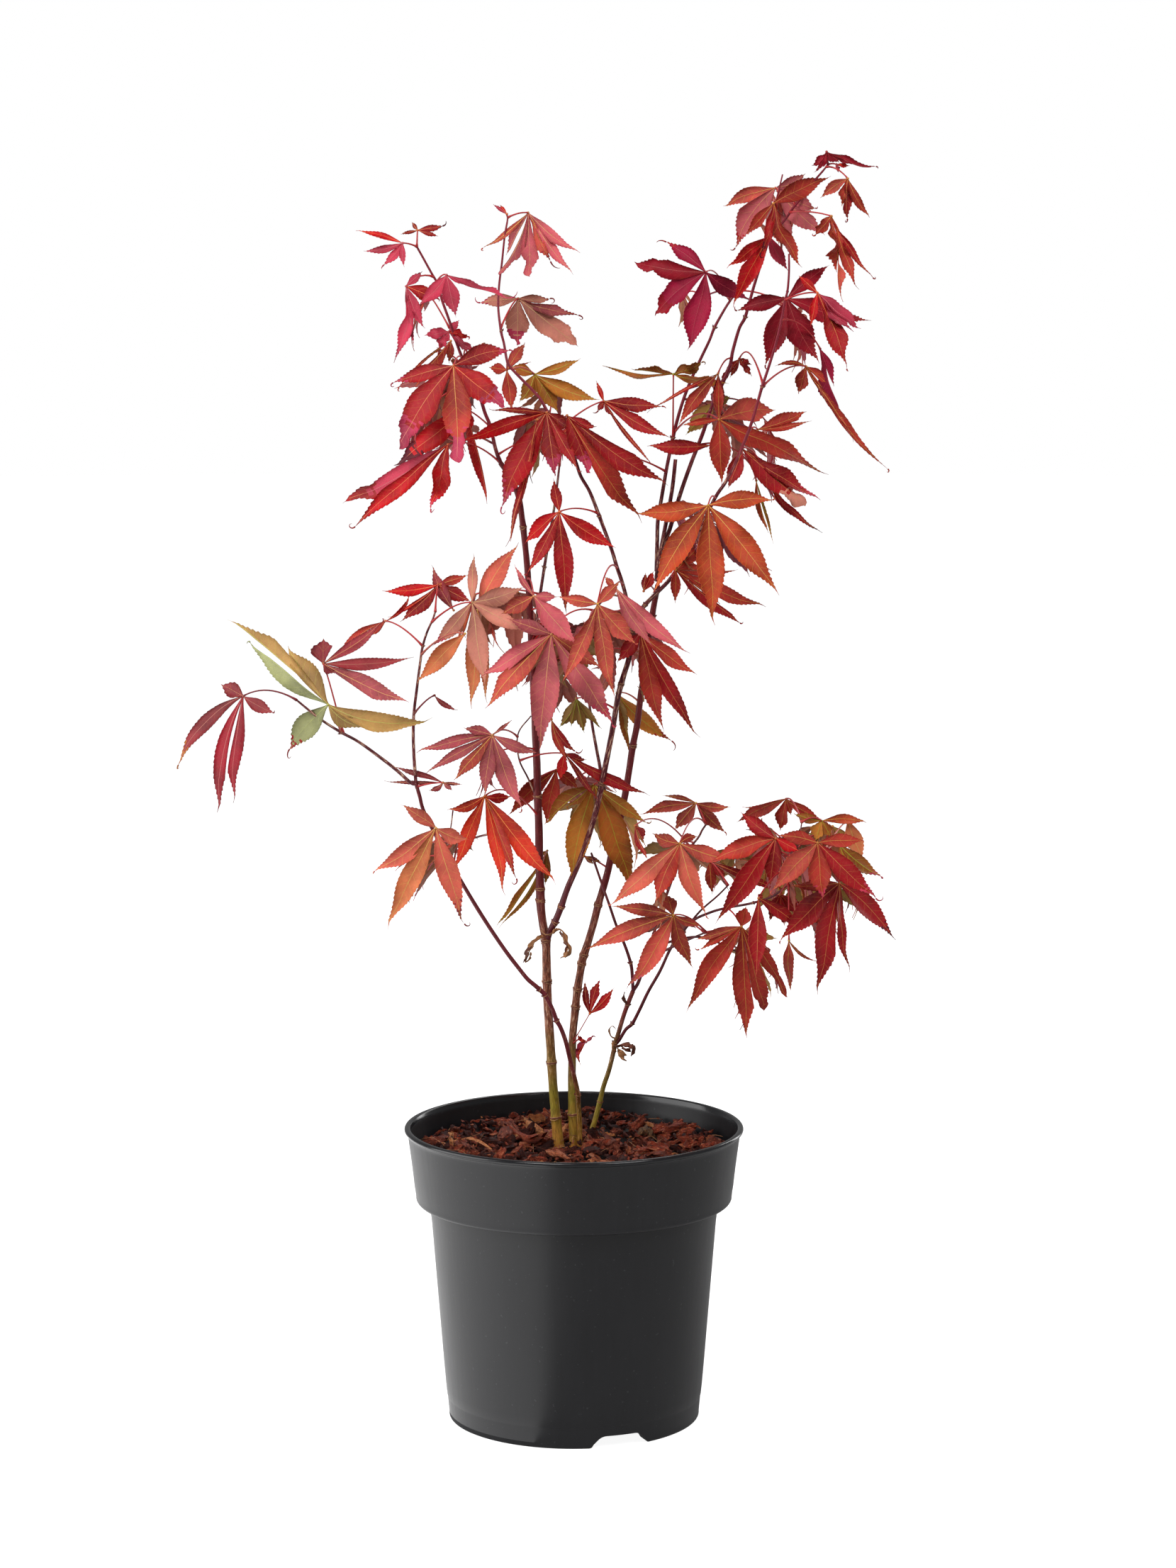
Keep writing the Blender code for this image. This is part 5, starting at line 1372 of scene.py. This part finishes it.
def pot_plastic():
    n = Nodes("pot_plastic", 0.4, 0.5)
    coord = n.add("ShaderNodeTexCoord").outputs["Object"]
    streak = n.noise(240.0, 3.0, 0.6, stretch=(1.0, 1.0, 0.035))
    fine = n.noise(1500.0, 2.0, 0.5)
    speck = n.noise(520.0, 1.0, 0.4)
    dots = n.math("DIVIDE", n.math("SUBTRACT", speck, 0.735), 0.02, clamp=True)
    base = n.ramp(streak, [(0.3, lin(12, 12, 16)), (0.7, lin(17, 17, 21))])
    base = n.mix(n.math("MULTIPLY", dots, 0.16), base, lin(92, 94, 96))
    dust = n.noise(26.0, 5.0, 0.65, stretch=(1.0, 1.0, 0.5))
    base = n.mix(n.math("MULTIPLY", n.math("DIVIDE", n.math("SUBTRACT", dust, 0.5), 0.3, clamp=True), 0.03), base, lin(90, 90, 92))
    split = n.add("ShaderNodeSeparateXYZ")
    n.link(coord, split.inputs[0])
    x, _, z = split.outputs
    lip = n.math("DIVIDE", n.math("SUBTRACT", z, 0.1622), 0.0012, clamp=True)
    # scuffs: a patch at the right, below the collar, and one round the foot at the left
    right = n.math("MULTIPLY", n.math("DIVIDE", n.math("SUBTRACT", x, 0.0655), 0.006, clamp=True),
                   n.math("MULTIPLY", n.math("DIVIDE", n.math("SUBTRACT", z, 0.062), 0.02, clamp=True),
                          n.math("DIVIDE", n.math("SUBTRACT", 0.112, z), 0.015, clamp=True)))
    left = n.math("MULTIPLY", n.math("DIVIDE", n.math("SUBTRACT", -0.058, x), 0.006, clamp=True),
                  n.math("DIVIDE", n.math("SUBTRACT", 0.017, z), 0.004, clamp=True))
    marks = n.noise(640.0, 2.0, 0.6, stretch=(1.0, 1.0, 0.45))
    worn = n.math("DIVIDE", n.math("SUBTRACT", dust, 0.52), 0.10, clamp=True)
    scuff = n.math("MULTIPLY", n.math("MULTIPLY", n.math("MAXIMUM", right, left), worn),
                   n.math("DIVIDE", n.math("SUBTRACT", marks, 0.62), 0.08, clamp=True))
    base = n.mix(n.math("MULTIPLY", scuff, 0.16), base, lin(86, 86, 90))
    n.base(base)
    rough = n.math("ADD", n.math("MULTIPLY", streak, 0.10), n.math("ADD", n.math("MULTIPLY", dust, 0.08), 0.29))
    rough = n.math("MULTIPLY", rough, n.math("SUBTRACT", 1.0, n.math("MULTIPLY", lip, 0.55)))
    n.link(rough, n.bsdf.inputs["Roughness"])
    height = n.math("ADD", n.math("MULTIPLY", streak, 0.55), n.math("MULTIPLY", fine, 0.30))
    n.bump(n.math("SUBTRACT", height, n.math("MULTIPLY", scuff, 0.5)), 0.16, 0.0004)
    return n.mat


MATS["pot_plastic"] = pot_plastic()
pot_batch.add(grid.reshape(-1, 3) * MM, quads, "pot_plastic", uv=np.array(uvs))
pot = pot_batch.build(tall=1.0)
bm = bmesh.new()
bm.from_mesh(pot.data)
bmesh.ops.remove_doubles(bm, verts=bm.verts, dist=0.00003)
bmesh.ops.recalc_face_normals(bm, faces=bm.faces)
bm.to_mesh(pot.data)
bm.free()


def cutter_mesh(name, outline, depth, spin, radius):
    """A prism through the foot: outline (x, z) in mm, pushed along the radius."""
    bm_ = bmesh.new()
    front = [bm_.verts.new((x * MM, -depth * MM, z * MM)) for x, z in outline]
    rear = [bm_.verts.new((x * MM, depth * MM, z * MM)) for x, z in outline]
    bm_.faces.new(front)
    bm_.faces.new(rear[::-1])
    for i in range(len(outline)):
        j = (i + 1) % len(outline)
        bm_.faces.new((front[j], front[i], rear[i], rear[j]))
    bmesh.ops.recalc_face_normals(bm_, faces=bm_.faces)
    mesh = bpy.data.meshes.new(name)
    bm_.to_mesh(mesh)
    bm_.free()
    o = bpy.data.objects.new(name, mesh)
    bpy.context.scene.collection.objects.link(o)
    o.rotation_euler = (0, 0, spin)
    o.location = (radius * MM * math.sin(spin), -radius * MM * math.cos(spin), 0)
    return o


def rounded(points, radius, steps=5):
    """Outline with its corners rounded."""
    out = []
    n = len(points)
    for i in range(n):
        p0, p1, p2 = (np.array(points[k % n], float) for k in (i - 1, i, i + 1))
        r = radius[i] if isinstance(radius, (list, tuple)) else radius
        a, b = p0 - p1, p2 - p1
        la, lb = np.linalg.norm(a), np.linalg.norm(b)
        r_ = min(r, la * 0.45, lb * 0.45)
        if r_ < 0.05:
            out.append(tuple(p1))
            continue
        s0, s1 = p1 + a / la * r_, p1 + b / lb * r_
        for k in range(steps + 1):
            f = k / steps
            out.append(tuple((1 - f) ** 2 * s0 + 2 * f * (1 - f) * p1 + f * f * s1))
    return out


cutters = []
for k in range(3):
    spin = math.radians(21.6 + 120 * k)
    half = 69.8 * math.radians(26.2) / 2
    top = 69.8 * math.radians(17.8) / 2
    side_ = [(half + 2.6, 0.0), (half + 1.5, 0.12), (half + 0.7, 0.5), (half + 0.1, 1.2), (half - 0.4, 2.2)]
    shape = rounded([(-half - 4, -3), (half + 4, -3)] + side_ + [(top + 0.2, 6.9), (-top - 0.2, 6.9)]
                    + [(-x, z) for x, z in side_[::-1]], [0] * 7 + [2.8, 2.8] + [0] * 5)
    cutters.append(cutter_mesh("notch", shape, 9.0, spin, 67.0))
for k in range(8):
    spin = math.radians(45 * k + 12)
    circle = [(4.6 * math.cos(a), 4.6 * math.sin(a)) for a in np.linspace(0, 2 * math.pi, 32, endpoint=False)]
    hole = cutter_mesh("hole", circle, 6.2, 0, 0)
    hole.rotation_euler = (math.pi / 2, 0, 0)
    hole.location = (46 * MM * math.cos(spin), 46 * MM * math.sin(spin), 2 * MM)
    cutters.append(hole)
for c in cutters:
    cut = pot.modifiers.new("cut", "BOOLEAN")
    cut.operation = "DIFFERENCE"
    cut.solver = "EXACT"
    cut.object = c
bpy.context.view_layer.update()
cut_mesh = bpy.data.meshes.new_from_object(pot.evaluated_get(bpy.context.evaluated_depsgraph_get()))
pot.modifiers.clear()
pot.data = cut_mesh
for c in cutters:
    bpy.data.objects.remove(c, do_unlink=True)
pot.data.shade_smooth()
pot.data.set_sharp_from_angle(angle=math.radians(32))
place(pot, "pot")

# -------------------------------------------------------------------- mulch
def chip_material(name, colour, dark, light):
    n = Nodes(name, 0.42, 0.26)
    attr = n.add("ShaderNodeAttribute", attribute_name="lobe").outputs["Vector"]
    grain = n.noise(0.9, 6.0, 0.7, vector=attr, stretch=(0.22, 1.0, 1.6))
    lump_and_shade = n.noise(0.32, 3.0, 0.6, vector=attr)
    grit_glint_and_shade = n.noise(3.2, 4.0, 0.75, vector=attr)
    # Grain tones run from a dark stop to a pale stop, then get large dark patches and fine dark and pale flecks. The
    # pale stop and pale flecks are partly pale wood and partly painted highlight, standing in for the gleam on lit chip
    # tops. The dark stop, dark patches and dark flecks are partly dark bark and partly painted shade for the chips'
    # sides and the gaps between them.
    col = n.ramp(grain, [(0.36, dark), (0.47, colour), (0.55, colour), (0.66, light)])
    col = n.mix(n.math("MULTIPLY", n.math("SUBTRACT", 0.60, lump_and_shade), 2.2, clamp=True), col, dark)
    col = n.mix(n.math("MULTIPLY", n.math("SUBTRACT", grit_glint_and_shade, 0.50), 3.0, clamp=True), col, light)
    col = n.mix(n.math("MULTIPLY", n.math("SUBTRACT", 0.46, grit_glint_and_shade), 5.0, clamp=True), col, dark)
    n.base(col)
    n.bump(n.math("ADD", grain, n.math("MULTIPLY", grit_glint_and_shade, 0.7)), 1.0, 0.0014)
    return n.mat


# Each chip tint: its own tone, a dark stop that is partly painted shade, and a pale stop that is partly painted
# highlight.
MATS["chip_dark"] = chip_material("chip_dark", lin(52, 11, 7), lin(11, 2, 1), lin(150, 64, 40))
MATS["chip_red"] = chip_material("chip_red", lin(164, 46, 22), lin(34, 5, 3), lin(255, 170, 120))
MATS["chip_brown"] = chip_material("chip_brown", lin(120, 38, 22), lin(26, 5, 3), lin(226, 140, 104))
MATS["chip_tan"] = chip_material("chip_tan", lin(236, 140, 76), lin(120, 40, 16), lin(255, 222, 168))
MATS["chip_pink"] = chip_material("chip_pink", lin(206, 104, 62), lin(84, 24, 12), lin(255, 196, 156))
MATS["chip_moss"] = chip_material("chip_moss", lin(104, 66, 34), lin(40, 20, 10), lin(176, 132, 84))
# The bed under the chips: its very dark colour is partly dark earth and partly painted shade, deepening the gaps
# between the chips.
MATS["soil"] = chip_material("soil", lin(17, 5, 4), lin(5, 1, 1), lin(42, 16, 10))
MATS["fibre"] = plain_bark("fibre", lin(176, 122, 82), 0.7, 0.3)


def cube_sphere(n):
    """Directions and quads of a cube's faces split n x n, corners welded."""
    key, pts, quads, uvs = {}, [], [], []
    faces = [((1, 0, 0), (0, 1, 0), (0, 0, 1)), ((-1, 0, 0), (0, 0, 1), (0, 1, 0)), ((0, 1, 0), (0, 0, 1), (1, 0, 0)),
             ((0, -1, 0), (1, 0, 0), (0, 0, 1)), ((0, 0, 1), (1, 0, 0), (0, 1, 0)), ((0, 0, -1), (0, 1, 0), (1, 0, 0))]
    for fi, (f, a, b) in enumerate(faces):
        f, a, b = (np.array(x, float) for x in (f, a, b))
        idx = {}
        for i in range(n + 1):
            for j in range(n + 1):
                p = f + a * (2 * i / n - 1) + b * (2 * j / n - 1)
                k = tuple(np.round(p, 5))
                if k not in key:
                    key[k] = len(pts)
                    pts.append(p)
                idx[i, j] = key[k]
        for i in range(n):
            for j in range(n):
                quads.append((idx[i, j], idx[i + 1, j], idx[i + 1, j + 1], idx[i, j + 1]))
                cx, cy = fi % 3, fi // 3
                uvs.append([((cx + 0.02 + 0.96 * x / n) / 3, (cy + 0.02 + 0.96 * y / n) / 2)
                            for x, y in ((i, j), (i + 1, j), (i + 1, j + 1), (i, j + 1))])
    return np.array(pts), np.array(quads), np.array(uvs)


BOXES = {n_: cube_sphere(n_) for n_ in (2, 4, 6)}
mulch = Batch("mulch")


def rotation(rng, flat):
    yaw = rng.uniform(0, 2 * math.pi)
    pitch = float(np.clip(rng.normal(0, flat), -0.5, 0.5))
    roll = float(np.clip(rng.normal(0, flat * 1.4), -0.9, 0.9))
    cy, sy, cp, sp, cr, sr = math.cos(yaw), math.sin(yaw), math.cos(pitch), math.sin(pitch), math.cos(roll), math.sin(roll)
    return (np.array([[cy, -sy, 0], [sy, cy, 0], [0, 0, 1]]) @ np.array([[cp, 0, sp], [0, 1, 0], [-sp, 0, cp]])
            @ np.array([[1, 0, 0], [0, cr, -sr], [0, sr, cr]]))


def chip(rng, at, size, name, flat=0.35, facets=8, turn=None):
    """A broken piece of bark: a box rounded a little, cut by random planes,
    ridged along its grain and ragged at its ends. size: half sizes in mm."""
    box_pts, box_quads, box_uv = BOXES[6 if size[0] > 6.5 else 4 if size[0] > 2.2 else 2]
    p = box_pts / np.linalg.norm(box_pts, axis=1, keepdims=True) ** rng.uniform(0.10, 0.42)
    for _ in range(facets):
        nrm = unit(rng.normal(0, 1, 3) * [1.0, 1.0, 0.8])
        d = rng.uniform(0.34, 0.92)
        over = np.maximum(p @ nrm - d, 0)
        p = p - over[:, None] * nrm
    ph = rng.uniform(0, 6.28, 8)
    ridge = 0.10 * np.sin(p[:, 1] * 8 + ph[0] + 1.8 * np.sin(p[:, 0] * 2.3 + ph[1]))
    ridge += 0.08 * np.abs(np.sin(p[:, 1] * 15 + ph[2] + p[:, 0] * 1.2)) + 0.07 * np.sin(p[:, 0] * 6 + ph[4]) * np.sin(p[:, 1] * 5 + ph[5])
    ragged = (0.16 * np.sin(p[:, 1] * 11 + ph[3]) + 0.08 * np.sin(p[:, 2] * 14 + ph[6])) * np.sign(p[:, 0]) * (np.abs(p[:, 0]) > 0.55)
    p = p * (1 + ridge[:, None] * [0.4, 1.0, 2.6]) + np.stack([ragged, 0 * ragged, 0 * ragged], axis=1)
    p = p + rng.normal(0, 0.042, p.shape)
    local = p * size
    local[:, 2] += rng.uniform(-0.25, 0.25) * size[0] * (p[:, 0] ** 2 - 0.4)
    rot = rotation(rng, flat) if turn is None else turn
    world = at + local @ rot.T
    world[:, 2] = np.maximum(world[:, 2], 138.0)
    rad = np.hypot(world[:, 0], world[:, 1])
    limit = 86.2 + (world[:, 2] - 130) * 0.125
    k = np.where(rad > limit, limit / np.maximum(rad, 1e-6), 1.0)
    world[:, :2] *= k[:, None]
    mulch.add(world * MM, box_quads, name, lobe=local + rng.uniform(0, 60, 3), uv=box_uv)


def ground_level(x, y):
    """Height of the chips' surface in mm: mounded a little at the left, higher at the back."""
    back = min(max((y + 10.0) / 75.0, 0.0), 1.0)
    return 149.2 + 4.0 * back * back * (3 - 2 * back) + 2.4 * math.exp(-((x + 62) ** 2 + (y + 8) ** 2) / 900) - 1.2 * math.exp(-((x - 10) ** 2 + (y + 70) ** 2) / 600) \
        + 1.2 * math.sin(x / 14.0 + 1) * math.cos(y / 11.0)


mrng = np.random.default_rng(3307)
bed = []
rows_, cols_ = 34, 96
for i in range(rows_):
    r = 0.02 + 87.4 * (i / (rows_ - 1))
    a = np.linspace(0, 2 * math.pi, cols_, endpoint=False)
    z = np.array([ground_level(r * math.cos(t), r * math.sin(t)) - 2.4 + mrng.normal(0, 0.9) for t in a])
    bed.append(np.stack([r * np.cos(a), r * np.sin(a), z], axis=1))
bed = np.array(bed)
low = bed[-1].copy()
low[:, 2] = 131.0
low[:, :2] *= 86.0 / 87.4
low2 = low.copy()
low2[:, :2] *= 0.001
bed = np.concatenate([bed, low[None], low2[None]])
bq = grid_quads(len(bed), cols_, closed=True)
# The bed under the chips, its dark colour partly painted shade for the gaps between them.
mulch.add(bed.reshape(-1, 3) * MM, bq, "soil", lobe=bed.reshape(-1, 3) * [1, 1, 1.0],
          uv=np.array([[((q[k] % cols_) / cols_, (q[k] // cols_) / len(bed)) for k in range(4)] for q in bq]))
NAMES = ["chip_dark"] * 36 + ["chip_red"] * 30 + ["chip_brown"] * 24 + ["chip_tan"] * 7 + ["chip_pink"] * 4 + ["chip_moss"] * 1
STEM_FEET = [(-9.0, 19.0, 4.2), (0.2, 19.0, 3.4), (3.5, 15.0, 2.6), (7.2, 30.0, 2.8)]
placed_chips = []


def scatter(number, size_range, lift, spread, rng):
    done = 0
    for _ in range(number * 12):
        if done >= number:
            break
        r = 86.0 * math.sqrt(rng.random())
        a = rng.uniform(0, 2 * math.pi)
        x, y = r * math.cos(a), r * math.sin(a)
        length = rng.uniform(*size_range)
        if any(math.hypot(x - fx, y - fy) < fr + length * 0.35 for fx, fy, fr in STEM_FEET):
            continue
        if any(math.hypot(x - px, y - py) < (length + pl) * spread for px, py, pl in placed_chips):
            continue
        if r + length * 0.4 > 88:
            continue
        placed_chips.append((x, y, length))
        width = length * rng.uniform(0.34, 0.66)
        thick = length * rng.uniform(0.24, 0.50)
        z = ground_level(x, y) + lift + rng.uniform(-0.8, 1.0)
        chip(rng, np.array([x, y, z]), np.array([length / 2, width / 2, thick / 2]), NAMES[int(rng.integers(len(NAMES)))],
             flat=rng.uniform(0.2, 0.75))
        done += 1
    placed_chips.clear()


scatter(110, (8, 13), -1.6, 0.24, mrng)
scatter(130, (8, 14), 0.6, 0.26, mrng)
scatter(80, (9, 17), 2.2, 0.30, mrng)
scatter(330, (3.5, 8), 2.6, 0.36, mrng)
scatter(480, (1.4, 4.0), 3.0, 0.38, mrng)


def sliver(u0, v0, u1, v1, z, width, name, rng):
    """A long splinter between two points of the view, lying on the other chips;
    z (mm) is the first guess of its height."""
    for _ in range(6):
        ends = []
        for u, v in ((u0, v0), (u1, v1)):
            ray = FWD + np.array([1.0, 0, 0]) * (u - FRAME_W / 2) / FOCAL + UPV * (FRAME_H / 2 - v) / FOCAL
            t = (z * MM - CAM[2]) / ray[2]
            ends.append((CAM + ray * t) / MM)
        a, b = ends
        mid = (a + b) / 2
        z = 0.5 * z + 0.5 * (ground_level(mid[0], mid[1]) + 3.4)
    if max(math.hypot(a[0], a[1]), math.hypot(b[0], b[1])) > 84:
        return
    along = unit(b - a)
    side = unit(np.cross((0, 0, 1.0), along))
    turn = np.stack([along, side, np.cross(along, side)], axis=1)
    chip(rng, mid, np.array([np.linalg.norm(b - a) / 2 * 1.1, width / 2, width * 0.3]), name, turn=turn, facets=6)


for u0, v0, u1, v1, z, w, name in (
        (640, 1605, 700, 1622, 154, 2.6, "chip_tan"), (737, 1580, 770, 1598, 157, 7.0, "chip_tan"),
        (722, 1592, 764, 1612, 155, 9.0, "chip_red"), (700, 1574, 722, 1570, 156, 3.0, "chip_tan"),
        (790, 1562, 796, 1576, 156, 4.0, "chip_tan"), (655, 1580, 676, 1598, 157, 6.0, "chip_red"),
        (590, 1590, 602, 1600, 155, 7.0, "chip_pink"), (905, 1584, 930, 1590, 155, 3.0, "chip_tan"),
        (935, 1596, 962, 1588, 155, 6.0, "chip_red"), (890, 1628, 932, 1617, 155, 8.0, "chip_red"),
        (776, 1628, 800, 1634, 156, 8.0, "chip_pink"), (852, 1600, 872, 1622, 157, 10.0, "chip_brown"),
        (1010, 1600, 1035, 1606, 153, 5.0, "chip_tan")):
    sliver(u0, v0, u1, v1, z, w, name, mrng)
place(mulch.build(smooth=True, tall=1.0, sharp=30), "substrate")

fibres = Batch("fibres")
for k in range(80):
    r = 84 * math.sqrt(mrng.random())
    a = mrng.uniform(0, 2 * math.pi)
    x, y = r * math.cos(a), r * math.sin(a)
    base = np.array([x, y, ground_level(x, y) + 3.0])
    way = unit(np.array([mrng.normal(), mrng.normal(), abs(mrng.normal(0.1, 0.3))]))
    length = mrng.uniform(5, 16)
    side = unit(np.cross(way, mrng.normal(0, 1, 3)))
    pts = [base, base + way * length * 0.4 + side * mrng.uniform(-4, 4), base + way * length + side * mrng.uniform(-5, 5)
           + np.array([0, 0, -0.08 * length])]
    path = smooth_path(pts, 0.9)
    rad = np.hypot(path[:, 0], path[:, 1])
    path[:, :2] *= np.where(rad > 88.5, 88.5 / rad, 1)[:, None]
    t = np.linspace(0, 1, len(path))
    sweep(fibres, path * MM, (0.17 * (1 - 0.5 * t)) * MM, 5, "fibre" if mrng.random() < 0.8 else "dead_dark", cap=False)
place(fibres.build(tall=1.0))

for group, b in leaf_batches.items():
    if b.tiles:
        piece = place(b.build(tall=1.0), GROUPS[group])
place(stalks.build(tall=1.0))
place(twigs.build(tall=1.0))

# -------------------------------------------------------------- stage, light
def seen_only(n, strength_seen, strength_cast):
    """A strength that the camera sees, and another for the light it casts."""
    path = n.nodes.new("ShaderNodeLightPath")
    node = n.nodes.new("ShaderNodeMapRange")
    node.inputs[3].default_value = strength_cast
    node.inputs[4].default_value = strength_seen
    n.links.new(path.outputs["Is Camera Ray"], node.inputs[0])
    return node.outputs[0]


def floor():
    """A wide flat pale floor; the studio's pale surround is the world."""
    n = Nodes("floor", 0.9, 0.0)
    n.bsdf.inputs["Base Color"].default_value = (0.42, 0.42, 0.42, 1)
    n.bsdf.inputs["Emission Color"].default_value = (1, 1, 1, 1)
    n.link(seen_only(n.tree, 0.92, 0.10), n.bsdf.inputs["Emission Strength"])
    ring_ = [(12.0 * math.cos(t), 12.0 * math.sin(t), 0.0) for t in np.linspace(0, 2 * math.pi, 96, endpoint=False)]
    mesh = bpy.data.meshes.new("floor")
    mesh.from_pydata(ring_, [], [tuple(range(96))])
    mesh.materials.append(n.mat)
    o = bpy.data.objects.new("floor", mesh)
    bpy.context.scene.collection.objects.link(o)


WORLD_LIGHT = 0.26
floor()
world = bpy.data.worlds.new("studio")
bpy.context.scene.world = world
world.use_nodes = True
back = world.node_tree.nodes["Background"]
back.inputs[0].default_value = (1, 1, 1, 1)
world.node_tree.links.new(seen_only(world.node_tree, 1.0, WORLD_LIGHT), back.inputs[1])


def area(name, at, aim, size, power, colour=(1, 1, 1)):
    data = bpy.data.lights.new(name, "AREA")
    data.shape = "RECTANGLE"
    data.size, data.size_y = size
    data.energy = power
    data.color = colour
    o = bpy.data.objects.new(name, data)
    o.location = at
    o.rotation_euler = (Vector(aim) - Vector(at)).to_track_quat("-Z", "Y").to_euler()
    o.visible_camera = False
    bpy.context.scene.collection.objects.link(o)
    return o


area("key", (-0.8, -1.6, 2.5), (0, 0, 0.4), (1.2, 1.2), 33)
area("fill", (1.2, -1.3, 1.9), (0, 0, 0.4), (1.0, 1.0), 19)
area("left", (-1.3, -0.16, 0.62), (0, 0, 0.3), (1.3, 1.25), 14)
area("right", (1.15, 1.42, 0.6), (0, 0, 0.25), (0.35, 1.3), 5)
area("behind", (0.4, 2.2, 2.2), (0, 0, 0.4), (1.2, 1.2), 12)
card = area("card", (-0.411, 0.029, 0.003), (-0.411, 0.029, 1.0), (0.8, 1.2), 3.1)   # seen only as the pot's soft sheen
card.rotation_euler = (math.pi, 0, math.radians(-18))
card.visible_diffuse = False

camera_data = bpy.data.cameras.new("camera")
camera_data.lens = 87.35
camera_data.sensor_width = 36.0
camera = bpy.data.objects.new("camera", camera_data)
camera.location = CAM
camera.rotation_euler = (math.pi / 2 - TILT, 0, 0)
bpy.context.scene.collection.objects.link(camera)
bpy.context.scene.camera = camera
bpy.context.scene.view_settings.view_transform = "Standard"
